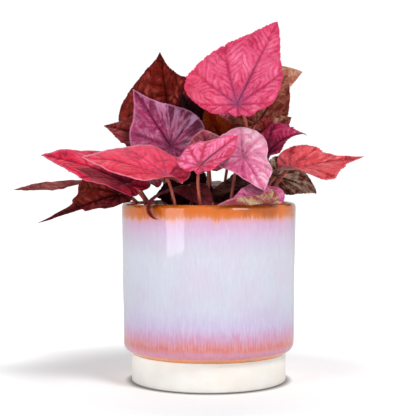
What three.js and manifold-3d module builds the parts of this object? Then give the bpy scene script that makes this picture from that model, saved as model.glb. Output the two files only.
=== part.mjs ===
// Potted rex begonia: a glazed stoneware pot filled with soil, a knobbly rhizome lying in the
// soil, and the leaves, each a stem and a thin waved blade with a toothed edge.
// Millimetres, +Z up, origin at the middle of the flat underside of the pot. The front is -Y.

import * as THREE from 'three';
import { mergeVertices } from 'three/addons/utils/BufferGeometryUtils.js';
import Module from 'manifold-3d';

const wasm = await Module();
wasm.setup();

// ---------------------------------------------------------------- driving dimensions

const potHeight = 154;
const potTopRadius = 75;
const potLowRadius = 73.6;
const lipRadius = 4;
const wallThickness = 6;
const footRadius = 66.6;
const footHeight = 25;
const shoulderRadius = 8;
const shoulderLift = 0.8;
const floorThickness = 9;
const floorFillet = 3;
const footBevel = 1;
const innerLipRadius = 1.6;
const innerTaper = 6;
const potSegments = 48;

const soilTop = 141;
const soilGap = 0.3;
const soilDome = 3;
const soilLump = 1.3;
const soilLumpFade = 8;
const soilRings = [0.86, 0.6, 0.3];
const soilSegments = 24;

const bladeThickness = 0.9;
const bladeRings = [12, 24, 48];
const smallBladeRings = [8, 16, 32];
const smallBladeLength = 44;
const bladeRingReach = [0.3, 0.66, 1];
const toothDepth = 0.028;
const midribSteps = 12;
const leastCurl = 0.01;
const stemRootRadius = 1.5;
const stemTopRadius = 1.15;
const stemSides = 6;
const stemSteps = 6;
const stemDepth = 17;
const stemRise = 0.42;
const stemEntry = 0.28;
const joinGap = 0.35;
const flatTolerance = 0.03;
const weldTolerance = 1e-4;

// ---------------------------------------------------------------- colours

const palette = {
  glaze: [0xd9cfe4, 0.2],
  soil: [0x3b2a20, 0.95],
  rhizome: [0x6b4a30, 0.8],
  stem: [0x8c3a34, 0.55],
  pink: [0xe0557c, 0.45],
  coral: [0xd8475a, 0.45],
  rose: [0xe884b0, 0.4],
  magenta: [0x9c3463, 0.45],
  maroon: [0x5e1d22, 0.5],
  olive: [0x6a4638, 0.55],
  ember: [0x8a3a1c, 0.55],
};

// ---------------------------------------------------------------- leaf outlines

// Distances from the stem joint to the edge, as parts of the leaf's length, at these angles from
// the tip. The left side is the one that lies left when the upper face is seen with its tip up.
// sinus: the notch behind the joint. point: how drawn out the tip is.
const outlineAngles = [0, 15, 35, 60, 90, 120, 150, 180];
const outlines = {
  crown: {
    left: [0.77, 0.66, 0.57, 0.55, 0.34, 0.15], right: [0.67, 0.51, 0.37, 0.24, 0.17, 0.14],
    sinus: 0.12, point: 1.2,
  },
  tall: {
    left: [0.82, 0.79, 0.78, 0.7, 0.58, 0.38], right: [0.68, 0.62, 0.58, 0.52, 0.44, 0.3],
    sinus: 0.14, point: 2.4,
  },
  shield: {
    left: [0.7, 0.62, 0.52, 0.46, 0.4, 0.28], right: [0.67, 0.565, 0.54, 0.525, 0.46, 0.3],
    sinus: 0.13, point: 2,
  },
  broad: {
    left: [0.76, 0.58, 0.48, 0.38, 0.28, 0.2], right: [0.78, 0.62, 0.54, 0.48, 0.42, 0.3],
    sinus: 0.13, point: 1.4,
  },
  small: {
    left: [0.76, 0.64, 0.56, 0.52, 0.48, 0.3], right: [0.78, 0.6, 0.4, 0.28, 0.24, 0.2],
    sinus: 0.14, point: 1.4,
  },
  oblique: {
    left: [0.76, 0.58, 0.48, 0.42, 0.36, 0.27], right: [0.8, 0.68, 0.6, 0.54, 0.5, 0.4],
    sinus: 0.14, point: 1.6,
  },
  round: {
    left: [0.84, 0.74, 0.56, 0.66, 0.84, 0.9], right: [0.74, 0.54, 0.5, 0.62, 0.68, 0.72],
    sinus: 0.78, point: 1.2,
  },
  wing: {
    left: [0.58, 0.5, 0.42, 0.36, 0.24, 0.14], right: [0.74, 0.7, 0.5, 0.36, 0.26, 0.18],
    sinus: 0.14, point: 3,
  },
  tailed: {
    left: [0.44, 0.27, 0.2, 0.18, 0.18, 0.16], right: [0.53, 0.48, 0.4, 0.31, 0.24, 0.2],
    sinus: 0.14, point: 4,
  },
  trough: {
    left: [0.55, 0.35, 0.27, 0.24, 0.22, 0.16], right: [0.72, 0.62, 0.56, 0.52, 0.48, 0.36],
    sinus: 0.14, point: 1.4,
  },
  ribbon: {
    left: [0.46, 0.22, 0.15, 0.14, 0.14, 0.14], right: [0.5, 0.24, 0.17, 0.14, 0.14, 0.14],
    sinus: 0.12, point: 1.4,
  },
  clawed: {
    left: [0.42, 0.28, 0.3, 0.4, 0.44, 0.34], right: [0.44, 0.3, 0.32, 0.38, 0.36, 0.3],
    sinus: 0.14, point: 1.4,
  },
  sliver: {
    left: [0.76, 0.6, 0.5, 0.42, 0.32, 0.2], right: [0.6, 0.4, 0.3, 0.26, 0.24, 0.2],
    sinus: 0.12, point: 2,
  },
  blunt: {
    left: [0.9, 0.8, 0.7, 0.6, 0.5, 0.36], right: [0.92, 0.84, 0.74, 0.64, 0.5, 0.36],
    sinus: 0.14, point: 1,
  },
};

// ---------------------------------------------------------------- leaves

// joint: where the stem meets the blade; tip: the blade's point; face: the way its upper side looks.
// fold: how far the left and the right half rise from the midrib, in degrees, at the joint and
// then at the tip. bend: how far the midrib turns down along the blade, and hook: how much more it
// turns near the tip. curl: how far the left and the right edge turn down. twist: turn about the
// midrib. ruffle: height of the waved edge as a part of the length, number of waves, and phase.
// root: where the stem stands in the soil. rise and enter: the stem's directions at its two ends.
const leaves = [
  {
    name: 'leaf_01', shade: 'pink', outline: 'crown', joint: [23.8, -30, 237], tip: [59.5, 6, 309],
    face: [-0.15, -1, 0.3], fold: [9, 12, 4, 6], bend: 10, curl: [10, 20], ruffle: [0.02, 7, 0.4],
    root: [22, -4], rise: [0.1, 0, 1], enter: [-0.6, -0.3, 0.75],
  },
  {
    name: 'leaf_02', shade: 'maroon', outline: 'tall', joint: [-33.5, 26, 221], tip: [-43.7, 50, 287.5],
    face: [-0.45, -1, 0.3], fold: [10, 14, 10, 14], bend: 8, curl: [20, 15], ruffle: [0.02, 6, 1.2],
    root: [-18, 20],
  },
  {
    name: 'leaf_03', shade: 'magenta', outline: 'shield', joint: [-32, -12, 201.5], tip: [-66, 10, 252],
    face: [-0.3, -0.9, 0.35], fold: [14, 18, 10, 10], bend: 6, curl: [20, 30], ruffle: [0.02, 5, 2.2],
    root: [-22, -8],
  },
  {
    name: 'leaf_04', shade: 'coral', outline: 'broad', joint: [-34, -62, 176.5], tip: [-102.5, -70, 193.4],
    face: [-0.15, -0.53, 0.85], fold: [40, 16, -14, 6], bend: 14, curl: [20, 24], ruffle: [0.02, 5, 0.2],
    root: [-24, -57.5],
  },
  {
    name: 'leaf_05', shade: 'coral', outline: 'broad', joint: [-68.5, -50, 171], tip: [-137.7, -50, 193.4],
    face: [0.1, -0.46, 0.88], fold: [20, 6, 4, 6], bend: 28, curl: [14, 14], ruffle: [0.015, 5, 1.6],
    root: [-44, -33], rise: [-0.05, -0.05, 1], enter: [-0.8, -0.5, 0.3],
  },
  {
    name: 'leaf_06', shade: 'pink', outline: 'small', joint: [-7, -67, 185.3], tip: [24, -52, 209],
    face: [-0.1, -0.72, 0.7], fold: [16, 22, 12, 18], bend: 10, curl: [26, 26], ruffle: [0.03, 6, 0.8],
    root: [-4, -54],
  },
  {
    name: 'leaf_07', shade: 'rose', outline: 'round', joint: [28, -50, 192.7], tip: [45, -66, 165.3],
    face: [0.15, -0.85, 0.4], fold: [14, 14, 10, 10], bend: 10, curl: [24, 24], ruffle: [0.03, 4, 0.6],
    root: [16, -40],
  },
  {
    name: 'leaf_08', shade: 'coral', outline: 'wing', joint: [67, -24, 182], tip: [129.3, -35, 193.6],
    face: [-0.05, -0.78, 0.62], fold: [6, 64, 6, -4], bend: -8, curl: [16, 10], ruffle: [0.02, 5, 2.6],
    root: [40, -12],
  },
  {
    name: 'leaf_09', shade: 'olive', outline: 'broad', joint: [58, -4, 176], tip: [92, -12, 161.5],
    face: [0.15, 0.85, 0.5], fold: [14, 24, 20, 20], bend: 20, hook: 30, curl: [30, 20],
    ruffle: [0.05, 6, 0.5], root: [46, 6],
  },
  {
    name: 'leaf_10', shade: 'magenta', outline: 'sliver', joint: [50, 6, 193], tip: [86.5, 12, 213],
    face: [-0.55, -0.75, 0.5], fold: [20, 30, 20, 20], bend: 60, hook: 30, curl: [10, 10],
    ruffle: [0.06, 7, 3.6], root: [42, 14],
  },
  {
    name: 'leaf_11', shade: 'olive', outline: 'oblique', joint: [43, 27, 222], tip: [70, 27, 266],
    face: [0.35, 0.95, 0.2], fold: [8, 8, 6, 6], bend: 10, curl: [10, 10], ruffle: [0.02, 6, 0.5],
    root: [29, 26],
  },
  {
    name: 'leaf_12', shade: 'olive', outline: 'broad', joint: [47, 40, 254], tip: [84.6, 46, 269.7],
    face: [0.2, 0.8, 0.5], fold: [12, 12, 8, 8], bend: 6, curl: [10, 10], ruffle: [0.02, 6, 0.5],
    root: [32, 42], rise: [0, 0, 1], enter: [0.2, -0.1, 1],
  },
  {
    name: 'leaf_13', shade: 'ember', outline: 'broad', joint: [14, -2, 203], tip: [-3, 4, 236],
    face: [-0.3, 0.9, 0.2], fold: [8, 8, 6, 6], bend: 8, curl: [14, 14], ruffle: [0.02, 6, 0.5],
    root: [8, -14],
  },
  {
    name: 'leaf_14', shade: 'maroon', outline: 'broad', joint: [-8, 4, 215], tip: [-25.5, 10, 249],
    face: [0.3, -0.9, 0.3], fold: [12, 12, 8, 8], bend: 8, curl: [14, 14], ruffle: [0.04, 7, 0.5],
    root: [-6, 4],
  },
  {
    name: 'leaf_15', shade: 'rose', outline: 'trough', joint: [50, -66, 155], tip: [6.6, -78, 152.5],
    face: [0, -0.2, 0.98], fold: [75, 35, 60, 35], bend: 6, curl: [10, 10], ruffle: [0.02, 5, 0.5],
    root: [37, -30], rise: [0, 0, 1], enter: [0.3, -0.8, -0.65],
  },
  {
    name: 'leaf_16', shade: 'maroon', outline: 'clawed', joint: [-18, -40, 170], tip: [-41, -66.5, 143],
    face: [-0.74, 0, 0.67], fold: [-75, 10, -20, 20], bend: 10, hook: 150, curl: [10, 10],
    ruffle: [0.03, 5, 0.5], root: [-20, -30],
  },
  {
    name: 'leaf_17', shade: 'maroon', outline: 'tailed', joint: [-75, -36, 162], tip: [-140.6, -50, 138],
    face: [-0.2, -0.85, 0.5], fold: [14, 24, 4, 4], bend: 10, curl: [10, 10], ruffle: [0.02, 5, 0.5],
    root: [-46, -20], rise: [-0.2, -0.1, 1], enter: [-0.85, -0.3, 0.1],
  },
  {
    name: 'leaf_18', shade: 'maroon', outline: 'ribbon', joint: [-98.7, -16, 174], tip: [-163.3, -30, 165.4],
    face: [0, 0.1, 1], fold: [10, 10, 20, 20], bend: -20, twist: 30, curl: [10, 10], ruffle: [0.02, 5, 0.5],
    root: [-46, -6], rise: [-0.2, 0, 1], enter: [-0.9, -0.2, 0.2],
  },
  {
    name: 'leaf_19', shade: 'maroon', outline: 'broad', joint: [-53.2, 14, 210], tip: [-92.5, 22, 220.2],
    face: [0.1, -0.75, 0.6], fold: [14, 14, 10, 10], bend: 10, curl: [10, 10], ruffle: [0.05, 7, 0.5],
    root: [-34, 6],
  },
  {
    name: 'leaf_20', shade: 'ember', outline: 'oblique', joint: [50, 19, 215], tip: [73, 21, 228],
    face: [0.3, -0.9, 0.4], fold: [14, 14, 10, 10], bend: 10, curl: [10, 10], ruffle: [0.05, 6, 0.5],
    root: [49, 20], rise: [0, 0, 1], enter: [0.1, -0.1, 1],
  },
  {
    name: 'leaf_21', shade: 'magenta', outline: 'blunt', joint: [-1, -36, 189], tip: [-5, -30, 215.5],
    face: [0, -0.9, 0.4], fold: [14, 14, 10, 10], bend: 24, curl: [20, 20], ruffle: [0.03, 6, 0.5],
    root: [0, -36],
  },
  {
    name: 'leaf_22', shade: 'olive', outline: 'broad', joint: [33, -24, 167], tip: [-1, -29, 157],
    face: [0.1, 0.9, 0.4], fold: [14, 14, 10, 10], bend: 12, curl: [10, 10], ruffle: [0.04, 6, 0.5],
    root: [36, -14],
  },
  {
    name: 'leaf_23', shade: 'maroon', outline: 'oblique', joint: [-9, -17, 168], tip: [-46, -17, 159],
    face: [0.1, 0.9, 0.3], fold: [6, 6, 4, 4], bend: 8, curl: [6, 6], ruffle: [0.04, 6, 0.5],
    root: [-10, -12],
  },
  {
    name: 'leaf_24', shade: 'pink', outline: 'oblique', joint: [-2, 52, 212], tip: [16, 106, 252],
    face: [-0.1, -0.3, 0.9], fold: [14, 14, 10, 10], bend: 34, curl: [10, 10], ruffle: [0.03, 6, 0.5],
    root: [4, 34],
  },
  {
    name: 'leaf_25', shade: 'magenta', outline: 'oblique', joint: [-42, 60, 198], tip: [-72, 116, 216],
    face: [0.2, 0.1, 0.9], fold: [14, 14, 10, 10], bend: 34, curl: [10, 10], ruffle: [0.03, 6, 0.5],
    root: [-26, 38],
  },
  {
    name: 'leaf_26', shade: 'coral', outline: 'broad', joint: [-66, 30, 175], tip: [-128, 56, 179],
    face: [0, 0.15, 0.95], fold: [14, 14, 10, 10], bend: 34, curl: [10, 10], ruffle: [0.03, 6, 0.5],
    root: [-42, 18],
  },
  {
    name: 'leaf_27', shade: 'coral', outline: 'oblique', joint: [56, 54, 177], tip: [102, 100, 178],
    face: [0, 0.1, 0.95], fold: [14, 14, 10, 10], bend: 34, curl: [10, 10], ruffle: [0.03, 6, 0.5],
    root: [36, 34],
  },
  {
    name: 'leaf_28', shade: 'maroon', outline: 'broad', joint: [-15, 66, 165.5], tip: [-33, 131, 155],
    face: [0.1, 0.1, 0.97], fold: [14, 14, 10, 10], bend: 40, curl: [10, 10], ruffle: [0.03, 6, 0.5],
    root: [-8, 44],
  },
];

// ---------------------------------------------------------------- solids

function solidFrom(geometry) {
  geometry.deleteAttribute('normal');
  geometry.deleteAttribute('uv');
  const welded = mergeVertices(geometry, weldTolerance);
  const position = welded.getAttribute('position');
  return new wasm.Manifold(new wasm.Mesh({
    numProp: 3,
    vertProperties: new Float32Array(position.array),
    triVerts: new Uint32Array(welded.index.array),
  }));
}

function geometryFrom(solid) {
  const mesh = solid.getMesh();
  const geometry = new THREE.BufferGeometry();
  geometry.setAttribute('position', new THREE.BufferAttribute(new Float32Array(mesh.vertProperties), 3));
  geometry.setIndex(new THREE.BufferAttribute(new Uint32Array(mesh.triVerts), 1));
  geometry.computeVertexNormals();
  return geometry;
}

function indexed(points, triangles) {
  const numbers = points.flatMap((point) => [point.x, point.y, point.z]);
  const geometry = new THREE.BufferGeometry();
  geometry.setAttribute('position', new THREE.Float32BufferAttribute(numbers, 3));
  geometry.setIndex(triangles.flat());
  return geometry;
}

function largestBody(solid) {
  return solid.decompose().reduce((best, body) => (body.volume() > best.volume() ? body : best));
}

// ---------------------------------------------------------------- pot

// Points of a round corner in the (radius, height) plane, from one angle to another.
function corner(radius, height, size, fromDegrees, toDegrees, steps) {
  const points = [];
  for (let i = 0; i <= steps; i += 1) {
    const angle = THREE.MathUtils.degToRad(fromDegrees + ((toDegrees - fromDegrees) * i) / steps);
    points.push(new THREE.Vector2(radius + size * Math.cos(angle), height + size * Math.sin(angle)));
  }
  return points;
}

const innerTopRadius = potTopRadius - wallThickness;
const innerLowRadius = footRadius - wallThickness;
const innerTaperTop = footHeight + shoulderRadius + innerTaper;

// The inside of the pot from the floor's edge up to the lip.
function insideProfile(gap) {
  return [
    new THREE.Vector2(innerLowRadius - floorFillet - gap, floorThickness + gap),
    new THREE.Vector2(innerLowRadius - gap, floorThickness + floorFillet + gap),
    new THREE.Vector2(innerLowRadius - gap, footHeight),
    new THREE.Vector2(innerTopRadius - (potTopRadius - potLowRadius) - gap, innerTaperTop),
    new THREE.Vector2(innerTopRadius - gap, soilTop),
  ];
}

// The glazed wall swells out over the bare foot, leans out a little, and ends in a round lip.
function makePot() {
  const shoulderHeight = footHeight + shoulderRadius + shoulderLift;
  const innerLip = innerTopRadius + innerLipRadius;
  const profile = [
    new THREE.Vector2(0, 0),
    new THREE.Vector2(footRadius - footBevel, 0),
    new THREE.Vector2(footRadius, footBevel),
    new THREE.Vector2(footRadius, footHeight),
    ...corner(potLowRadius - shoulderRadius, shoulderHeight, shoulderRadius, -75, 0, 4),
    ...corner(potTopRadius - lipRadius, potHeight - lipRadius, lipRadius, 0, 90, 3),
    ...corner(innerLip, potHeight - innerLipRadius, innerLipRadius, 90, 180, 2),
    ...insideProfile(0).reverse(),
    new THREE.Vector2(0, floorThickness),
  ];
  return new THREE.LatheGeometry(profile, potSegments);
}

// ---------------------------------------------------------------- soil and rhizome

// The soil's top: a low dome with lumps of two sizes, which fade out towards the wall.
function soilHeight(x, y) {
  const distance = Math.hypot(x, y);
  const dome = soilDome * (1 - (distance / innerTopRadius) ** 2);
  const large = Math.sin(x * 0.19 + 1.3) * Math.cos(y * 0.23 + 0.4);
  const small = Math.sin(x * 0.41 - y * 0.37);
  const fade = THREE.MathUtils.clamp((innerTopRadius - distance) / soilLumpFade, 0, 1);
  return soilTop + dome + soilLump * fade * (large + 0.6 * small);
}

function makeSoil() {
  const profile = [
    new THREE.Vector2(0, floorThickness + soilGap),
    ...insideProfile(soilGap),
    ...soilRings.map((part) => new THREE.Vector2(innerTopRadius * part, soilTop + 1)),
    new THREE.Vector2(0, soilTop + 1),
  ];
  const geometry = new THREE.LatheGeometry(profile, soilSegments);
  geometry.rotateX(Math.PI / 2);
  const position = geometry.getAttribute('position');
  for (let i = 0; i < position.count; i += 1) {
    if (position.getZ(i) > soilTop + 0.5) {
      position.setZ(i, soilHeight(position.getX(i), position.getY(i)));
    }
  }
  return solidFrom(geometry);
}

// Thick creeping stem: three arms of overlapping swellings that lie half sunk in the soil.
const rhizomeArms = [
  { from: [-6, 2], to: [-44, -24], size: 7 },
  { from: [6, 0], to: [34, -30], size: 6.5 },
  { from: [0, 6], to: [22, 40], size: 6 },
];
const swellingsPerArm = 3;
const swellingStretch = 0.72;
const swellingFlatness = 0.85;
const armThinning = 0.2;
const armSway = 2;

function makeRhizome() {
  let body = null;
  for (const arm of rhizomeArms) {
    const heading = Math.atan2(arm.to[1] - arm.from[1], arm.to[0] - arm.from[0]);
    const stride = Math.hypot(arm.to[1] - arm.from[1], arm.to[0] - arm.from[0]) / (swellingsPerArm - 1);
    for (let i = 0; i < swellingsPerArm; i += 1) {
      const part = i / (swellingsPerArm - 1);
      const x = THREE.MathUtils.lerp(arm.from[0], arm.to[0], part);
      const y = THREE.MathUtils.lerp(arm.from[1], arm.to[1], part) + armSway * Math.sin(i * 2.1);
      const size = arm.size * (1 - armThinning * part);
      const knob = new THREE.SphereGeometry(1, 8, 5);
      knob.scale(stride * swellingStretch, size, size * swellingFlatness);
      knob.rotateZ(heading);
      knob.translate(x, y, soilHeight(x, y) - 0.5);
      const solid = solidFrom(knob);
      body = body ? body.add(solid) : solid;
    }
  }
  return body;
}

// ---------------------------------------------------------------- blades

// Distance from the joint to the edge at an angle (degrees, left positive), length 1.
function edgeReach(outline, degrees) {
  const side = degrees >= 0 ? outline.left : outline.right;
  const reach = [1, ...side, outline.sinus];
  const angle = Math.min(Math.abs(degrees), 180);
  let k = 0;
  while (k < outlineAngles.length - 2 && angle > outlineAngles[k + 1]) {
    k += 1;
  }
  const slope = (i) => {
    const low = Math.max(i - 1, 0);
    const high = Math.min(i + 1, reach.length - 1);
    const sharper = i === 0 ? outline.point : 1;
    return (sharper * (reach[high] - reach[low])) / (outlineAngles[high] - outlineAngles[low]);
  };
  const span = outlineAngles[k + 1] - outlineAngles[k];
  const t = (angle - outlineAngles[k]) / span;
  const t2 = t * t;
  const t3 = t2 * t;
  return (2 * t3 - 3 * t2 + 1) * reach[k] + (t3 - 2 * t2 + t) * span * slope(k)
    + (3 * t2 - 2 * t3) * reach[k + 1] + (t3 - t2) * span * slope(k + 1);
}

// How far the midrib has turned down at a part of its length.
function midribTurn(leaf, part) {
  const hook = part > 0 ? (leaf.hook || 0) * part ** 4 : 0;
  return THREE.MathUtils.degToRad(leaf.bend * part + hook);
}

// A point of the midrib for a blade of length 1, in the plane of its curve.
function midribPoint(leaf, part) {
  const point = new THREE.Vector2();
  for (let i = 0; i < midribSteps; i += 1) {
    const turn = midribTurn(leaf, (part * (i + 0.5)) / midribSteps);
    point.x += (part / midribSteps) * Math.cos(turn);
    point.y -= (part / midribSteps) * Math.sin(turn);
  }
  return point;
}

// The blade's own axes, and its real length along the curved midrib.
function bladeFrame(leaf) {
  const joint = new THREE.Vector3(...leaf.joint);
  const chord = new THREE.Vector3(...leaf.tip).sub(joint);
  const along = chord.clone().normalize();
  const up = new THREE.Vector3(...leaf.face);
  up.addScaledVector(along, -up.dot(along)).normalize();
  const end = midribPoint(leaf, 1);
  const tilt = Math.atan2(-end.y, end.x);
  const axisU = along.clone().multiplyScalar(Math.cos(tilt)).addScaledVector(up, Math.sin(tilt));
  const axisW = up.clone().multiplyScalar(Math.cos(tilt)).addScaledVector(along, -Math.sin(tilt));
  const axisV = new THREE.Vector3().crossVectors(axisW, axisU);
  return { joint, axisU, axisV, axisW, length: chord.length() / end.length() };
}

// A point of the blade's middle surface: part 0 is the joint, part 1 the edge.
function bladePoint(leaf, frame, part, degrees, tooth) {
  const outline = outlines[leaf.outline];
  const reach = edgeReach(outline, degrees) * frame.length * part * tooth;
  const angle = THREE.MathUtils.degToRad(degrees);
  const a = reach * Math.cos(angle);
  const b = reach * Math.sin(angle);
  const progress = THREE.MathUtils.clamp(a / frame.length, 0, 1);

  const side = b >= 0 ? 0 : 1;
  const fold = THREE.MathUtils.degToRad(THREE.MathUtils.lerp(leaf.fold[side], leaf.fold[side + 2], progress));
  const curl = THREE.MathUtils.degToRad(leaf.curl[side] || leastCurl) / (frame.length / 2);
  const width = Math.abs(b);
  const across = Math.sign(b) * (Math.sin(fold) - Math.sin(fold - curl * width)) / curl;
  const [ruffle, waves, phase] = leaf.ruffle;
  const wave = ruffle * frame.length * part ** 3 * Math.sin(waves * angle + phase);
  const lift = (Math.cos(fold - curl * width) - Math.cos(fold)) / curl + wave;

  const twist = THREE.MathUtils.degToRad(leaf.twist || 0) * progress;
  const sideways = across * Math.cos(twist) - lift * Math.sin(twist);
  const raised = across * Math.sin(twist) + lift * Math.cos(twist);

  const turn = midribTurn(leaf, a / frame.length);
  const rib = midribPoint(leaf, a / frame.length).multiplyScalar(frame.length);
  return frame.joint.clone()
    .addScaledVector(frame.axisU, rib.x + raised * Math.sin(turn))
    .addScaledVector(frame.axisV, sideways)
    .addScaledVector(frame.axisW, rib.y + raised * Math.cos(turn));
}

// Both faces share one set of triangles, so the waved blade keeps its thickness everywhere.
function makeBlade(leaf, thickness) {
  const frame = bladeFrame(leaf);
  const rings = frame.length < smallBladeLength ? smallBladeRings : bladeRings;
  const middle = [bladePoint(leaf, frame, 0, 0, 1)];
  const starts = [];
  rings.forEach((count, ring) => {
    starts.push(middle.length);
    const isEdge = ring === rings.length - 1;
    for (let i = 0; i < count; i += 1) {
      const degrees = i <= count / 2 ? (360 * i) / count : (360 * i) / count - 360;
      const tooth = isEdge && i > 0 ? 1 + toothDepth * (i % 2 ? 1 : -1) : 1;
      middle.push(bladePoint(leaf, frame, bladeRingReach[ring], degrees, tooth));
    }
  });

  const faces = [];
  for (let i = 0; i < rings[0]; i += 1) {
    faces.push([0, starts[0] + i, starts[0] + ((i + 1) % rings[0])]);
  }
  for (let ring = 1; ring < rings.length; ring += 1) {
    const inner = rings[ring - 1];
    const outer = rings[ring];
    for (let i = 0; i < inner; i += 1) {
      const near = starts[ring - 1] + i;
      const next = starts[ring - 1] + ((i + 1) % inner);
      const far = starts[ring] + 2 * i;
      const last = starts[ring] + ((2 * i + 2) % outer);
      faces.push([near, far, far + 1], [near, far + 1, next], [next, far + 1, last]);
    }
  }

  const normals = middle.map(() => new THREE.Vector3());
  for (const [a, b, c] of faces) {
    const normal = middle[b].clone().sub(middle[a]).cross(middle[c].clone().sub(middle[a]));
    [a, b, c].forEach((i) => normals[i].add(normal));
  }
  const count = middle.length;
  const upper = middle.map((p, i) => p.clone().addScaledVector(normals[i].normalize(), thickness / 2));
  const lower = middle.map((p, i) => p.clone().addScaledVector(normals[i], -thickness / 2));
  const triangles = [...faces, ...faces.map(([a, b, c]) => [a + count, c + count, b + count])];
  const edgeStart = starts[starts.length - 1];
  const edgeCount = rings[rings.length - 1];
  for (let i = 0; i < edgeCount; i += 1) {
    const a = edgeStart + i;
    const b = edgeStart + ((i + 1) % edgeCount);
    triangles.push([a, a + count, b + count], [a, b + count, b]);
  }
  return solidFrom(indexed([...upper, ...lower], triangles));
}

// ---------------------------------------------------------------- stems

function stemCurve(leaf) {
  const frame = bladeFrame(leaf);
  const [rootX, rootY] = leaf.root;
  const root = new THREE.Vector3(rootX, rootY, soilHeight(rootX, rootY) - stemDepth);
  const end = frame.joint.clone();
  const reach = root.distanceTo(end);
  const rise = leaf.rise
    ? new THREE.Vector3(...leaf.rise).normalize()
    : new THREE.Vector3((end.x - root.x) * 0.35, (end.y - root.y) * 0.35, reach).normalize();
  const enter = leaf.enter
    ? new THREE.Vector3(...leaf.enter).normalize()
    : frame.axisW.clone().multiplyScalar(0.7).addScaledVector(frame.axisU, 0.6).normalize();
  return new THREE.CubicBezierCurve3(
    root,
    root.clone().addScaledVector(rise, reach * stemRise),
    end.clone().addScaledVector(enter, -reach * stemEntry),
    end,
  );
}

// A round tapered rod along the stem's curve, widened all round by the margin.
function makeStem(leaf, margin) {
  const curve = stemCurve(leaf);
  const frames = curve.computeFrenetFrames(stemSteps, false);
  const points = [];
  const triangles = [];
  for (let i = 0; i <= stemSteps; i += 1) {
    const part = i / stemSteps;
    const centre = curve.getPointAt(part);
    const radius = THREE.MathUtils.lerp(stemRootRadius, stemTopRadius, part) + margin;
    for (let k = 0; k < stemSides; k += 1) {
      const angle = (2 * Math.PI * k) / stemSides;
      points.push(centre.clone()
        .addScaledVector(frames.normals[i], radius * Math.cos(angle))
        .addScaledVector(frames.binormals[i], radius * Math.sin(angle)));
    }
  }
  for (let i = 0; i < stemSteps; i += 1) {
    for (let k = 0; k < stemSides; k += 1) {
      const a = i * stemSides + k;
      const b = i * stemSides + ((k + 1) % stemSides);
      triangles.push([a, b, b + stemSides], [a, b + stemSides, a + stemSides]);
    }
  }
  const last = stemSteps * stemSides;
  for (let k = 1; k < stemSides - 1; k += 1) {
    triangles.push([0, k + 1, k], [last, last + k, last + k + 1]);
  }
  return solidFrom(indexed(points, triangles));
}

// ---------------------------------------------------------------- assembly

const group = new THREE.Group();

function addPart(name, geometry, shade) {
  const [color, roughness] = palette[shade];
  const mesh = new THREE.Mesh(geometry, new THREE.MeshStandardMaterial({ color, roughness, metalness: 0 }));
  mesh.name = name;
  group.add(mesh);
  return mesh;
}

const pot = addPart('pot', makePot(), 'glaze');
pot.rotation.x = Math.PI / 2;

let soil = makeSoil();
let rhizome = makeRhizome();
soil = soil.subtract(rhizome);

for (const leaf of leaves) {
  const blade = makeBlade(leaf, bladeThickness);
  const stem = largestBody(makeStem(leaf, 0).subtract(makeBlade(leaf, bladeThickness + 2 * joinGap)));
  const hole = makeStem(leaf, joinGap);
  soil = soil.subtract(hole);
  rhizome = rhizome.subtract(hole);
  addPart(`${leaf.name}_blade`, geometryFrom(blade), leaf.shade);
  addPart(`${leaf.name}_stem`, geometryFrom(stem.simplify(flatTolerance)), 'stem');
}

addPart('soil', geometryFrom(largestBody(soil).simplify(flatTolerance)), 'soil');
addPart('rhizome', geometryFrom(largestBody(rhizome).simplify(flatTolerance)), 'rhizome');

export default group;
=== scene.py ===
# A rex begonia in a glazed pot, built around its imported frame: pot, soil, rhizome, 28 stems and
# 28 blades. The dictionaries are in millimetres unless a note says metres, and every mesh is made
# in metres.

import math

import bpy
import numpy as np
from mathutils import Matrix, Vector


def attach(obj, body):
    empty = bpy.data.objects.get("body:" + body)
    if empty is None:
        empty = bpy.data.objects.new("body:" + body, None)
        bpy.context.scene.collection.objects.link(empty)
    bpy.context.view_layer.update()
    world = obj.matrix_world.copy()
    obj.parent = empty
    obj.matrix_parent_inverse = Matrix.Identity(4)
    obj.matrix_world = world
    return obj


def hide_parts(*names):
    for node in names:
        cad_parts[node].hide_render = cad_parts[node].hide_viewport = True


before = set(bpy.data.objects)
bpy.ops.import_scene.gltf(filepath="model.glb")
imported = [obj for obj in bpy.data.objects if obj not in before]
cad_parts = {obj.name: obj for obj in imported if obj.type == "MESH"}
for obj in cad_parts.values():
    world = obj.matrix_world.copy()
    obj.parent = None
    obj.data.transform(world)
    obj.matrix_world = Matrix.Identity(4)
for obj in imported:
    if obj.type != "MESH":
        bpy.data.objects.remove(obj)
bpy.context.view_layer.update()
mm = 0.001
print("frame loaded:", len(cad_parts), "nodes")


def linearColour(code):  # "d9cfe4" to the linear colour that shaders take
    parts = [int(code[i:i + 2], 16) / 255 for i in (0, 2, 4)]
    return (*(c / 12.92 if c < 0.04045 else ((c + 0.055) / 1.055) ** 2.4 for c in parts), 1.0)


def putNode(tree, kind, inputs=None, **settings):
    node = tree.nodes.new(kind)
    for name, value in settings.items():
        setattr(node, name, value)
    for key, value in (inputs or {}).items():
        if isinstance(value, bpy.types.NodeSocket):
            tree.links.new(value, node.inputs[key])
        else:
            node.inputs[key].default_value = value
    return node


# the helpers below put their node in the tree of the first socket that they are given

def calc(operation, first, *others):
    return putNode(first.id_data, "ShaderNodeMath", dict(enumerate((first, *others))),
                   operation=operation).outputs[0]


def times(product, *factors):
    for factor in factors:
        product = calc("MULTIPLY", product, factor)
    return product


def swung(value, amount, base):  # base, moved up and down by a noise that lies round 0.5
    return calc("MULTIPLY_ADD", calc("SUBTRACT", value, 0.5), amount, base)


def eased(value, low, high, start=0.0, end=1.0):  # smooth step between two values
    inputs = {0: value, 1: low, 2: high, 3: start, 4: end}
    return putNode(value.id_data, "ShaderNodeMapRange", inputs,
                   interpolation_type="SMOOTHSTEP").outputs[0]


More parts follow.
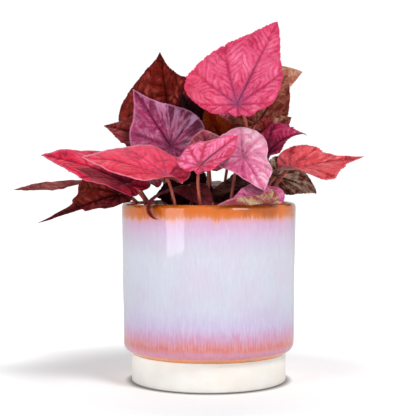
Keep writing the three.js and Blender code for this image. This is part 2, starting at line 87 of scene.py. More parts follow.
def noise(vector, scale, detail=3.0, roughness=0.55):
    inputs = {"Vector": vector, "Scale": scale, "Detail": detail, "Roughness": roughness}
    return putNode(vector.id_data, "ShaderNodeTexNoise", inputs).outputs[0]


def mixed(factor, first, second, mode="MIX"):
    first, second = (linearColour(c) if isinstance(c, str) else c for c in (first, second))
    return putNode(factor.id_data, "ShaderNodeMix", {0: factor, 6: first, 7: second},
                   data_type="RGBA", blend_type=mode).outputs[2]


def layered(colour, *layers):  # each layer is a factor, a colour and perhaps a way to blend
    for factor, over, *mode in layers:
        colour = mixed(factor, colour, over, *mode)
    return colour


def heightOf(vector):
    return putNode(vector.id_data, "ShaderNodeSeparateXYZ", {0: vector}).outputs["Z"]


def stretched(vector, scale):
    return putNode(vector.id_data, "ShaderNodeMapping", {"Vector": vector, "Scale": scale}).outputs[0]


def attribute(tree, name, kind="Fac"):
    return putNode(tree, "ShaderNodeAttribute", attribute_name=name).outputs[kind]


def newMaterial(name, **fixed):  # a Principled shader; fixed sockets are set directly
    material = bpy.data.materials.new(name)
    material.use_nodes = True
    shader = material.node_tree.nodes["Principled BSDF"]
    for socket, value in fixed.items():
        shader.inputs[socket.replace("_", " ")].default_value = value
    return material, shader


def objectPlace(shader):
    return putNode(shader.id_data, "ShaderNodeTexCoord").outputs["Object"]


def feed(shader, **sockets):
    for name, source in sockets.items():
        shader.id_data.links.new(source, shader.inputs[name.replace("_", " ")])


def bumped(shader, height, strength, distance):
    inputs = {"Strength": strength, "Distance": distance, "Height": height}
    bump = putNode(shader.id_data, "ShaderNodeBump", inputs).outputs[0]
    feed(shader, Normal=bump)
    return bump


def linked(name, data):
    item = bpy.data.objects.new(name, data)
    bpy.context.scene.collection.objects.link(item)
    return item


def newPiece(name, points, faces, *materials, smooth=True):  # points in metres
    mesh = bpy.data.meshes.new(name)
    mesh.from_pydata(points.tolist(), [], faces, shade_flat=not smooth)
    for material in materials:
        mesh.materials.append(material)
    mesh.update()
    return linked(name, mesh)


def settle(piece, node):  # the calls that every finished piece needs
    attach(piece, "root")
    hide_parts(node)


def applied(piece):  # a plain mesh object in place of the piece and its modifiers
    mesh = bpy.data.meshes.new_from_object(piece.evaluated_get(bpy.context.evaluated_depsgraph_get()))
    name = piece.name
    bpy.data.objects.remove(piece)
    return linked(name, mesh)


def newTree(name, values):  # a node tree for geometry, with a named input for each value
    kinds = {float: "Float", int: "Int", bpy.types.Material: "Material"}
    tree = bpy.data.node_groups.new(name, "GeometryNodeTree")
    tree.interface.new_socket("Geometry", in_out="INPUT", socket_type="NodeSocketGeometry")
    for label, value in values.items():
        socket = tree.interface.new_socket(
            label, in_out="INPUT", socket_type="NodeSocket" + kinds[type(value)])
        socket.default_value = value
    tree.interface.new_socket("Geometry", in_out="OUTPUT", socket_type="NodeSocketGeometry")
    return tree, putNode(tree, "NodeGroupInput").outputs, putNode(tree, "NodeGroupOutput").inputs[0]


def putGeometry(tree, kind, inputs=None, **settings):
    return putNode(tree, "GeometryNode" + kind, inputs, **settings).outputs[0]


def randomVector(tree, low, high):
    return putNode(tree, "FunctionNodeRandomValue", {0: low, 1: high}, data_type="FLOAT_VECTOR").outputs[0]


def strewn(tree, points, instance, rotation, scale):
    instances = putGeometry(tree, "InstanceOnPoints", {
        "Points": points, "Instance": instance, "Rotation": rotation, "Scale": scale})
    return putGeometry(tree, "RealizeInstances", {"Geometry": instances})


def joined(tree, *parts):
    node = putNode(tree, "GeometryNodeJoinGeometry")
    for part in parts:
        tree.links.new(part, node.inputs[0])
    return putGeometry(tree, "RealizeInstances", {"Geometry": node.outputs[0]})


def grown(piece, tree, values):  # the piece after its tree, with the tree's named inputs set
    modifier = piece.modifiers.new(tree.name, "NODES")
    modifier.node_group = tree
    for item in tree.interface.items_tree:
        if item.in_out == "INPUT" and item.name in values:
            modifier[item.identifier] = values[item.name]
    return applied(piece)


# camera: fitted to the pot's outline in the photograph, which is 416 pixels wide
camera = {
    "place": (-0.66, -1014.0, 188.7), "pitch": -2.25, "focalPixels": 1174.0, "imagePixels": 416.0,
    "sensor": 36.0, "nearest": 10.0,
}


def makeCamera():
    data = bpy.data.cameras.new("camera")
    data.sensor_width = camera["sensor"]
    data.lens = camera["focalPixels"] / camera["imagePixels"] * data.sensor_width
    data.clip_start = camera["nearest"] * mm
    eye = linked("camera", data)
    eye.location = Vector(camera["place"]) * mm
    eye.rotation_euler = (math.radians(90 + camera["pitch"]), 0, 0)
    bpy.context.scene.camera = eye


# light: a broad key from the right, soft fill from the left and behind, a pale room, and two
# tall panels that only the glaze and the leaves' sheen mirror; all of it in metres
light = {
    "lamps": {
        "key": dict(place=(0.75, -0.9, 1.55), size=(0.5, 0.5), power=20.0, seen="both"),
        "fill": dict(place=(-1.02, -1.1, 0.72), size=(0.62, 1.45), power=9.0, seen="diffuse"),
        "back": dict(place=(-0.1, 1.5, 1.25), size=(1.8, 0.9), power=12.0, seen="both"),
        "leftPanel": dict(place=(-0.474, -0.515, 0.324), size=(0.29, 0.56), power=1.0, seen="glossy"),
        "rightPanel": dict(place=(0.68, -0.74, 0.66), size=(0.38, 0.9), power=5.0, seen="glossy"),
    },
    "roomStrength": 0.25, "backdropStrength": 0.8, "mirrored": 0.42,
    "aim": (0.0, 0.0, 0.17),
    # the floor glows as painted light: faintly near the pot and strongly farther out, so the cast shadow
    # fades outwards
    "floorRadius": 60.0, "floorFrom": 0.13, "floorTo": 0.3, "floorNear": 0.1, "floorFar": 0.85,
    # contactShadow is a painted shadow: a darker ring on the floor round the pot's foot
    "contactShadow": (0.0665, 0.0745), "contactShadowColour": "8c8886", "floorColour": "f7f7f7",
}


def areaLight(name, place, size, power, seen):
    data = bpy.data.lights.new(name, "AREA")
    data.shape = "RECTANGLE"
    data.size, data.size_y = size
    data.energy = power
    lamp = linked(name, data)
    lamp.location = place
    toward = Vector(light["aim"]) - Vector(place)
    if seen == "glossy":
        toward.z = 0  # the mirrored panels stand upright
    lamp.rotation_euler = toward.to_track_quat("-Z", "Y").to_euler()
    lamp.visible_glossy = seen != "diffuse"
    lamp.visible_diffuse = seen != "glossy"


def makeStudio():
    bpy.context.scene.view_settings.view_transform = "Standard"
    world = bpy.data.worlds.new("room")
    bpy.context.scene.world = world
    world.use_nodes = True
    tree = world.node_tree
    tree.nodes.clear()
    seen = putNode(tree, "ShaderNodeLightPath").outputs
    strength = calc("MULTIPLY_ADD", seen["Is Camera Ray"], light["backdropStrength"], light["roomStrength"])
    strength = calc("MULTIPLY_ADD", seen["Is Glossy Ray"], light["mirrored"], strength)
    room = putNode(tree, "ShaderNodeBackground", {"Color": (1, 1, 1, 1), "Strength": strength})
    putNode(tree, "ShaderNodeOutputWorld", {"Surface": room.outputs[0]})
    for name, lamp in light["lamps"].items():
        areaLight(name, **lamp)


def makeFloor():
    material, shader = newMaterial("paleFloor", Roughness=1.0, Specular_IOR_Level=0.0,
                                   Emission_Color=(1, 1, 1, 1))
    away = putNode(shader.id_data, "ShaderNodeVectorMath", {0: objectPlace(shader)},
                   operation="LENGTH").outputs["Value"]
    # painted light: the floor's own glow grows with the distance from the pot
    glow = eased(away, light["floorFrom"], light["floorTo"], light["floorNear"], light["floorFar"])
    # painted contact shadow: the floor's colour is darker in a thin ring round the foot
    contactShadow = mixed(eased(away, *light["contactShadow"]), light["contactShadowColour"], light["floorColour"])
    feed(shader, Emission_Strength=glow, Base_Color=contactShadow)
    corners = np.array([(-1, -1, 0), (1, -1, 0), (1, 1, 0), (-1, 1, 0)]) * light["floorRadius"]
    floor = newPiece("floor", corners, [(0, 1, 2, 3)], material)
    floor.visible_glossy = False  # so that the glaze mirrors an even room down to its edges


makeCamera()
makeStudio()
makeFloor()
print("camera, light and floor made")


# pot: the same sizes as the frame's solid
pot = {
    "height": 154.0, "topRadius": 75.0, "lowRadius": 73.6, "lip": 4.0, "innerLip": 1.6, "wall": 6.0,
    "footRadius": 66.6, "footHeight": 25.0, "footBevel": 1.0, "shoulder": 8.0, "shoulderLift": 0.8,
    "floor": 9.0, "floorBevel": 3.0, "innerFoot": 39.0, "segments": 200, "wallRings": 50,
    "wobble": 0.12, "wobbleFrom": 29.0, "wobbleRise": 10.0,
    # the glaze's colour up the wall, by height
    "bands": [
        # the orange edge at 25 and 27.6 mm is partly the glaze's colour and partly painted light against the
        # shade under the shoulder
        (25.0, "dc8331"), (27.6, "dc8535"), (28.9, "d9848d"), (31.6, "cd88a5"), (36.0, "d47469"),
        (40.0, "d18491"), (46.0, "c996b9"), (54.0, "c1b3d4"), (72.0, "c3c3d4"), (110.0, "c3c4d1"),
        (124.0, "c1b5cb"), (132.0, "c3a7c5"), (138.5, "c79ab9"), (141.4, "cf8b81"), (143.4, "c66e31"),
        # the stops from 147.5 to 153 mm are partly the glaze's orange and partly a painted highlight near
        # the lip
        (147.5, "c9610e"), (150.5, "cb630e"), (153.0, "c26317"), (154.0, "a74c08"),
    ],
    # how far each pattern moves that colour up and down, how far streaks are drawn out, and how
    # often the patterns come in a metre
    "streak": 6.8, "streakFine": 11.2, "drift": 6.0, "drawnOut": (1, 1, 0.14),
    "scales": dict(streak=130, fine=700, cloud=26, mottle=300, rust=55, speck=900, wave=60,
                   clay=40, turned=900, grit=1400),
    "milk": 0.18, "mottle": 0.16, "cool": 0.3, "warm": 0.28, "rust": 0.5, "speck": 0.25,
    "milkColour": "ece9f2", "mottleColour": "b9aecb", "coolColour": "c9d3e2",
    "warmColour": "ccb8d3", "rustColour": "96420e", "speckColour": "a98a80",
    "coat": 0.68, "rimCoat": 0.45, "lowCoat": 0.7, "gloss": 0.1, "coatGloss": 0.03, "coatIor": 1.75,
    # footContactShadow is painted shade: the lowest edge of the bare foot, where it meets the floor, is
    # darker
    "footColour": "f9f8f4", "footShade": "f5f0e8", "footGrain": "cdbfae", "footContactShadow": "6e635a",
    # the heights between which each effect comes in or dies out
    "fades": dict(run=(27.5, 36.0), milk=(147.0, 140.0), middle=(50.0, 75.0), middleTop=(138.0, 115.0),
                  rust=(141.5, 146.0), rimCoat=(137.5, 143.5), lowCoat=(35.0, 80.0), footContactShadow=(0.4, 1.8)),
}


def arc(radius, height, size, start, end, steps):
    angles = np.radians(np.linspace(start, end, steps + 1))
    return [(radius + size * math.cos(a), height + size * math.sin(a)) for a in angles]


def potInside(gap=0.0):  # the low part of the inner wall and the floor; the soil lies a gap inside
    inner = pot["lowRadius"] - pot["wall"] - gap
    foot = pot["footRadius"] - pot["wall"] - gap
    floor = pot["floor"] + gap
    bevel = pot["floorBevel"]
    return [(inner, pot["innerFoot"]), (foot, pot["footHeight"]),
            (foot, floor + bevel), (foot - bevel, floor), (0, floor)]


def potProfile():
    top, low, foot = pot["topRadius"], pot["lowRadius"], pot["footRadius"]
    inner = top - pot["wall"]
    footHeight, bevel, shoulder = pot["footHeight"], pot["footBevel"], pot["shoulder"]
    shoulderTop = footHeight + pot["shoulderLift"] + shoulder
    lipHeight = pot["height"] - pot["lip"]
    wall = [(low + (top - low) * part, shoulderTop + (lipHeight - shoulderTop) * part)
            for part in np.linspace(0, 1, pot["wallRings"])[1:-1]]
    return [
        (0, 0), (foot * 0.5, 0), (foot - 6, 0), *arc(foot - bevel, bevel, bevel, -90, -15, 4),
        *((foot, z) for z in np.linspace(bevel, footHeight - 1.2, 12)),
        (foot + 0.1, footHeight - 0.4), (foot + 0.5, footHeight + 0.1),
        *arc(low - shoulder, shoulderTop, shoulder, -78, 0, 12), *wall,
        *arc(top - pot["lip"], lipHeight, pot["lip"], 0, 90, 10),
        *arc(inner + pot["innerLip"], pot["height"] - pot["innerLip"], pot["innerLip"], 90, 180, 6),
        (inner, 145), (inner, 120), *potInside(),
    ]


def lathe(profile, segments):  # points and faces of a turned shape, closed on the axis at both ends
    ring = np.array(profile[1:-1])
    turn = 2 * np.pi * np.arange(segments) / segments
    points = np.stack([np.outer(ring[:, 0], np.cos(turn)), np.outer(ring[:, 0], np.sin(turn)),
                       np.repeat(ring[:, 1:], segments, 1)], 2).reshape(-1, 3)
    centre = len(points)
    here = np.arange(segments)
    after = (here + 1) % segments
    rows = [np.stack([low + here, low + after, low + after + segments, low + here + segments], 1)
            for low in range(0, centre - segments, segments)]
    faces = np.concatenate(rows).tolist()
    for i, j in zip(here.tolist(), after.tolist()):
        faces.append([centre, j, i])
        faces.append([centre + 1, centre - segments + i, centre - segments + j])
    return np.vstack([points, (0, 0, profile[0][1]), (0, 0, profile[-1][1])]), faces


def fade(height, name, start=0.0, end=1.0):
    low, high = pot["fades"][name]
    return eased(height, low * mm, high * mm, start, end)


def potGlaze():
    material, shader = newMaterial("runningGlaze", Roughness=pot["gloss"], Coat_Roughness=pot["coatGloss"],
                                   Coat_IOR=pot["coatIor"], IOR=1.5, Specular_IOR_Level=0.3)
    scales = pot["scales"]
    place = objectPlace(shader)
    height = heightOf(place)
    drawn = stretched(place, pot["drawnOut"])
    fine = noise(drawn, scales["fine"], 3, 0.7)
    cloud = noise(place, scales["cloud"], 3)
    mottle = noise(drawn, scales["mottle"], 4, 0.8)
    rust = noise(drawn, scales["rust"], 3)
    speck = noise(place, scales["speck"], 1)
    shift = swung(noise(drawn, scales["streak"], 2, 0.6), pot["streak"] * mm, 0.0)
    shift = swung(fine, pot["streakFine"] * mm, shift)
    shift = swung(cloud, pot["drift"] * mm, shift)
    # the glaze runs to a clean line above the foot
    run = calc("MULTIPLY_ADD", shift, fade(height, "run"), height)
    ramp = putNode(place.id_data, "ShaderNodeValToRGB", {0: calc("DIVIDE", run, pot["height"] * mm)})
    stops = ramp.color_ramp.elements
    for i, (z, code) in enumerate(pot["bands"]):
        stop = stops[i] if i < 2 else stops.new(z / pot["height"])
        stop.position = z / pot["height"]
        stop.color = linearColour(code)
    middle = times(fade(run, "middle"), fade(run, "middleTop"))
    body = layered(
        ramp.outputs[0],
        (times(eased(fine, 0.35, 0.75), fade(run, "milk"), pot["milk"]), pot["milkColour"]),
        (times(eased(mottle, 0.5, 0.8), pot["mottle"]), pot["mottleColour"], "MULTIPLY"),
        (times(middle, eased(cloud, 0.42, 0.65, 0.0, pot["cool"])), pot["coolColour"]),
        (times(middle, eased(cloud, 0.5, 0.33, 0.0, pot["warm"])), pot["warmColour"]),
        (times(eased(rust, 0.5, 0.68, 0.0, pot["rust"]), fade(run, "rust")), pot["rustColour"]),
        (times(eased(speck, 0.74, 0.82), pot["speck"]), pot["speckColour"]))
    coat = times(fade(height, "rimCoat", pot["coat"], pot["rimCoat"]),
                 fade(height, "lowCoat", pot["lowCoat"], 1.0))
    wave = bumped(shader, noise(place, scales["wave"], 2), 0.03, 0.002)
    feed(shader, Base_Color=body, Coat_Weight=coat, Coat_Normal=wave)
    return material


def bareClay():
    material, shader = newMaterial("bareClay", Roughness=0.75, Specular_IOR_Level=0.25)
    place = objectPlace(shader)
    scales = pot["scales"]
    turned = noise(stretched(place, (0.1, 0.1, 1)), scales["turned"], 2)
    grit = noise(place, scales["grit"], 3, 0.7)
    tone = layered(
        mixed(eased(noise(place, scales["clay"], 3), 0.3, 0.7), pot["footColour"], pot["footShade"]),
        (times(eased(grit, 0.6, 0.8), 0.25), pot["footGrain"]),
        # painted shade along the foot's lowest edge
        (fade(heightOf(place), "footContactShadow", 0.85, 0.0), pot["footContactShadow"]))
    feed(shader, Base_Color=tone)
    bumped(shader, calc("ADD", times(turned, 0.6), grit), 0.25, 0.0003)
    return material


def makePot():
    points, faces = lathe(potProfile(), pot["segments"])
    z = points[:, 2]
    turn = np.arctan2(points[:, 1], points[:, 0])
    glazed = np.clip((z - pot["wobbleFrom"]) / pot["wobbleRise"], 0, 1)
    wobble = pot["wobble"] * glazed * (np.sin(3 * turn + z * 0.05) + 0.6 * np.sin(7 * turn - z * 0.09))
    radius = np.hypot(points[:, 0], points[:, 1])
    points[:, :2] *= (1 + wobble / np.maximum(radius, 1))[:, None]
    piece = newPiece("glazedPot", points * mm, faces, potGlaze(), bareClay())
    for polygon in piece.data.polygons:
        centre = polygon.center / mm
        onFoot = centre.xy.length > pot["footRadius"] - 1 and centre.z < pot["footHeight"] - 0.2
        polygon.material_index = 1 if onFoot or centre.z < 0.5 else 0
    settle(piece, "pot")


makePot()
print("pot made")


# blades: for the left and the right side, distances from the joint to the edge at these angles
# from the tip, where the distance is 1; then the distance in the sinus, and the tip's slope
outlineAngles = np.array([0, 15, 35, 60, 90, 120, 150, 180], float)
outlines = {
    "crown": ((0.77, 0.66, 0.57, 0.55, 0.34, 0.15), (0.67, 0.51, 0.37, 0.24, 0.17, 0.14), 0.12, 1.2),
    "tall": ((0.82, 0.79, 0.78, 0.7, 0.58, 0.38), (0.68, 0.62, 0.58, 0.52, 0.44, 0.3), 0.14, 2.4),
    "shield": ((0.7, 0.62, 0.52, 0.46, 0.4, 0.28), (0.67, 0.565, 0.54, 0.525, 0.46, 0.3), 0.13, 2),
    "broad": ((0.76, 0.58, 0.48, 0.38, 0.28, 0.2), (0.78, 0.62, 0.54, 0.48, 0.42, 0.3), 0.13, 1.4),
    "small": ((0.76, 0.64, 0.56, 0.52, 0.48, 0.3), (0.78, 0.6, 0.4, 0.28, 0.24, 0.2), 0.14, 1.4),
    "oblique": ((0.76, 0.58, 0.48, 0.42, 0.36, 0.27), (0.8, 0.68, 0.6, 0.54, 0.5, 0.4), 0.14, 1.6),
    "round": ((0.84, 0.74, 0.56, 0.66, 0.84, 0.9), (0.74, 0.54, 0.5, 0.62, 0.68, 0.72), 0.78, 1.2),
    "wing": ((0.58, 0.5, 0.42, 0.36, 0.24, 0.14), (0.74, 0.7, 0.5, 0.36, 0.26, 0.18), 0.14, 3),
    "tailed": ((0.44, 0.27, 0.2, 0.18, 0.18, 0.16), (0.53, 0.48, 0.4, 0.31, 0.24, 0.2), 0.14, 4),
    "trough": ((0.55, 0.35, 0.27, 0.24, 0.22, 0.16), (0.72, 0.62, 0.56, 0.52, 0.48, 0.36), 0.14, 1.4),
    "ribbon": ((0.46, 0.22, 0.15, 0.14, 0.14, 0.14), (0.5, 0.24, 0.17, 0.14, 0.14, 0.14), 0.12, 1.4),
    "clawed": ((0.42, 0.28, 0.3, 0.4, 0.44, 0.34), (0.44, 0.3, 0.32, 0.38, 0.36, 0.3), 0.14, 1.4),
    "sliver": ((0.76, 0.6, 0.5, 0.42, 0.32, 0.2), (0.6, 0.4, 0.3, 0.26, 0.24, 0.2), 0.12, 2),
    "blunt": ((0.9, 0.8, 0.7, 0.6, 0.5, 0.36), (0.92, 0.84, 0.74, 0.64, 0.5, 0.36), 0.14, 1),
}

# looks: tones of the upper side are its furrows (painted shade), ground, crests (painted highlight), veins,
# the heart round the joint, silver patches, edge, painted glints whose tone also tints the sheen, and a
# flush and a glow over part of the blade; three are the under side's
toneNames = "deep base light vein heart silver rim sheen flush glow under underLight underVein".split()
# quilt and sag are heights of small and large waves, rung is the way from one side vein to the next,
# tooth and lobe are depths at the edge, turns are degrees from the tip, gloss is the roughness, furrow
# is the tone where furrows end, and the rest are shares.
commonLook = dict(
    halo=0.3, silvering=0.3, quilt=0.9, sag=1, rung=9, tooth=0.8, lobe=0.3, gloss=0.4, veinWidth=1,
    sideVein=0.6, streaks=0.5, flushTurn=180, flushing=0.4, mains=0.7, shine=0.15, glowTurn=0,
    glowing=0, hollows=0.3, crease=1.5, hearting=0.4, furrow=0.02)


def lookOf(slot, tones, **own):
    return {**commonLook, **dict(zip(toneNames, tones.split())), **own, "slot": slot + "_leaf"}


looks = {
    "rosePink": lookOf("pink",
        "b41848 dc4a74 e8789a 5c2644 a04274 f09ab4 d83660 ffd9e4 e0344a e85a7c 7a2a35 9c4a4c 5a1c28",
        halo=0.35, silvering=0.12, quilt=1.1, sag=1.1, rung=5.4, tooth=1.4, lobe=1.2, gloss=0.36,
        veinWidth=0.75, sideVein=0.15, flushTurn=130, flushing=0.45, mains=0.85, shine=0.3, glowTurn=-110,
        glowing=0.25, crease=1.9, hearting=0.75),
    "brick": lookOf("maroon",
        "2e0205 6c0c10 b0504a 2c0509 4a0c14 b06050 5d131c e07858 7a2414 ffffff 5b1a1f 7c3432 3d0f15",
        silvering=0.2, quilt=1.1, sag=1.2, lobe=0.6, veinWidth=1.1, sideVein=0.8, flushTurn=0,
        flushing=0.35, mains=0.8, shine=0.06),
    "silverPlum": lookOf("magenta",
        "480a26 a02c5c dc86ac 3e0c2c 5a1638 c488ac cf7aa4 f0b4d0 ccb4d8 d4788c 5a1d2c 7a3440 3f1020",
        halo=0, silvering=0.35, sag=1.2, tooth=0.6, gloss=0.34, veinWidth=0.9, sideVein=0.12, streaks=1.1,
        flushTurn=-75, flushing=0.55, mains=0.1, shine=0.22, glowTurn=120, glowing=0.35, hollows=0.95,
        crease=1.7, hearting=0.3, furrow=-0.12),
    "coralPink": lookOf("coral",
        "a80c28 ec2e50 fa6080 8c1c40 b078a6 ee6f92 f094ae ffc8d4 e22c42 ec7896 6e2428 9a4c48 4c141c",
        halo=0.15, silvering=0.15, quilt=0.8, sag=1.3, rung=9.5, tooth=0.4, gloss=0.36, veinWidth=0.8,
        sideVein=0.3, flushTurn=75, flushing=0.55, mains=0.35, glowTurn=-80, glowing=0.35, crease=1.1,
        hearting=0.45, furrow=-0.04),
    "crimsonPlum": lookOf("coral",
        "840a28 e4183c f4607c 4a0c26 6a1c44 e07a9c e8688c ffc0d0 f4345e dc5c80 6e2a35 93484c 4a1622",
        silvering=0.05, quilt=0.8, sag=1.2, rung=9.5, tooth=0.4, lobe=0.2, gloss=0.38, veinWidth=0.8,
        sideVein=0.3, flushTurn=85, mains=0.5, shine=0.05, glowTurn=-80, glowing=0.3, crease=1.3,
        hearting=0.5),
    "brightPink": lookOf("pink",
        "c8284e f4689a ffb2d2 553a40 80505e f7b0cf e63c6c ffdcea e82c48 ffffff 6e2a35 93484c 4a1622",
        halo=0.2, silvering=0.2, rung=5, tooth=0.7, lobe=0.4, gloss=0.34, veinWidth=1.3, sideVein=0.2,
        flushTurn=-110, flushing=0.6, mains=0.2, shine=0.3, hearting=0.35),
    "pearlPink": lookOf("rose",
        "9c2458 d95f8e f8c8dc b84a80 8a3a58 f8dae8 eab0cf ffe6f2 d83c7e f8dce8 7c3b46 a0626a 5a2230",
        halo=0, silvering=0.6, quilt=0.8, sag=1.4, tooth=0.3, gloss=0.32, veinWidth=0.45, sideVein=0.12,
        streaks=1.1, flushTurn=-80, flushing=0.62, mains=0.1, shine=0.35, glowTurn=90, glowing=0.2,
        crease=0.9, hearting=0.3, furrow=-0.2),
    "redCoral": lookOf("coral",
        "9c0c20 dc4650 f08488 e79aa0 b84a60 ee8e90 e86c78 ffd0c8 eaa0b6 ffffff 6a2f2e 8f5148 e0a0ac",
        halo=0.15, silvering=0.1, sag=1.1, rung=8, tooth=1.1, lobe=0.7, gloss=0.38, veinWidth=0.8,
        sideVein=0.25, flushing=0.5, mains=0.45, shine=0.25, crease=1, hearting=0.3, furrow=-0.03),
    "oliveBrown": lookOf("olive",
        "33130f 66382c a07c60 3a1412 5a3028 a88a70 c05a78 e0c0a8 8a7658 ffffff 6a2018 d0b49c 4c1818",
        silvering=0.35, rung=5.5, tooth=1, lobe=0.5, flushTurn=90, crease=1.6),
    "deepMagenta": lookOf("magenta",
        "6a0c30 b82450 dc6a94 440820 5e1030 d06a94 c2306a f4a8c4 64102e ffffff 6e1a3a 94395a 420c22",
        halo=0.4, silvering=0.2, quilt=1, rung=4.6, tooth=2.3, lobe=0.4, gloss=0.38, sideVein=0.5,
        flushing=0.5, shine=0.2),
    "tanMaroon": lookOf("olive",
        "64141e 943034 c0605a 4a1218 6e2030 c47a70 7c2c30 e8b090 a0684c ffffff 70201c b8705c 400e12",
        halo=0.4, rung=6.5, tooth=1, lobe=0.6, flushTurn=-90, shine=0.12),
    "tanRose": lookOf("olive",
        "9c3444 b8525a d08078 6e2430 8a3440 d09080 a8404a f4c8a8 c49070 ffffff c87060 e8bc98 84302f",
        quilt=0.6, sag=0.8, rung=4.2, veinWidth=0.8, sideVein=0.7, flushTurn=90),
    "amber": lookOf("ember",
        "5c1c14 8c2c18 b85a30 4a1010 5c1a18 b87848 6c1810 f0a060 a04818 ffffff 86120a a8481c 3c0604",
        halo=0.4, quilt=0.7, rung=7, tooth=0.6, lobe=0.4, gloss=0.42, veinWidth=1.1, flushTurn=-90,
        flushing=0.5, mains=0.6, shine=0.1),
    "blackMaroon": lookOf("maroon",
        "120305 2a080d 56202a 0e0204 1c0409 603038 470c18 b88088 180406 ffffff 220a0c 401c20 120304",
        silvering=0.15, quilt=1.2, sag=1.2, rung=5.5, tooth=1.4, lobe=0.8, gloss=0.42, sideVein=0.7,
        mains=0.8, shine=0.1),
    "lilacPink": lookOf("rose",
        "a83464 d6648e f0acc8 98306c b45a8c e0a8cc f070a8 ffd8ec e0509c ffffff 9c3a40 c4a880 5c1a1e",
        halo=0.2, silvering=0.5, quilt=0.8, rung=7, tooth=0.5, gloss=0.34, veinWidth=0.9, sideVein=0.5,
        streaks=1.1, mains=0.5, shine=0.3, crease=1),
    "wine": lookOf("maroon",
        "3c070d 7c1618 9c4640 280408 480c14 a85c4c a0203c f0a8a0 8a4a2c b05068 54141a 84423a 2c070b",
        halo=0.35, silvering=0.25, rung=6, tooth=1, lobe=0.5, sideVein=0.7, flushTurn=-90, flushing=0.45,
        mains=0.8, shine=0.12, glowTurn=90, glowing=0.45, crease=1.2),
    "dustyWine": lookOf("maroon",
        "6c2024 9c4448 c87c78 501014 5c1c20 c08878 c03a5c f4c0b8 a8405a ffffff 7c3034 a8605c 54181c",
        halo=0.35, quilt=0.8, rung=5, lobe=0.5, flushTurn=0, flushing=0.35),
    "creamWine": lookOf("ember",
        "4c060c 94202a c04c4c 3a0408 5c0c14 eac8a0 a8303c f4c0a8 b03038 ffffff 5c1c22 864640 380c12",
        halo=0.35, silvering=0.6, rung=6, tooth=0.9, lobe=0.5, sideVein=0.7, flushing=0.35),
    "darkOlive": lookOf("olive",
        "1c0f0d 3c241e 665042 20100f 30201c 6c5c48 4c2a2c c0a090 241410 ffffff 3a1a1a 7a5048 180a0a",
        sag=1.1, rung=6.5, lobe=0.5, gloss=0.42, shine=0.12),
    "dustyRose": lookOf("magenta",
        "3c0410 b03c56 d07a88 5c142a 7c243c e0a0a8 d8848e f8ccd4 c8607a ffffff 6e2a30 8c484a 4a141e",
        halo=0.35, silvering=0.45, quilt=0.8, sag=0.9, rung=5.6, tooth=0.7, lobe=0.4, gloss=0.38,
        veinWidth=0.9, sideVein=0.5, flushTurn=90, flushing=0.35, mains=0.6, shine=0.2, crease=1.3),
}

# joint, tip and root are places, face is where the upper side looks, fold is degrees at the joint and
# at the tip on the left and right, and ruffle is size, waves and phase round the edge
commonLeaf = dict(fold=(14, 14, 10, 10), bend=10, hook=0, twist=0, curl=(10, 10), jag=1,
                  ruffle=(0.03, 6, 0.5), rise=None, enter=None)


def leafOf(look, outline, joint, tip, face, root, **own):
    named = dict(look=look, outline=outline, joint=joint, tip=tip, face=face, root=root)
    return {**commonLeaf, **named, **own}


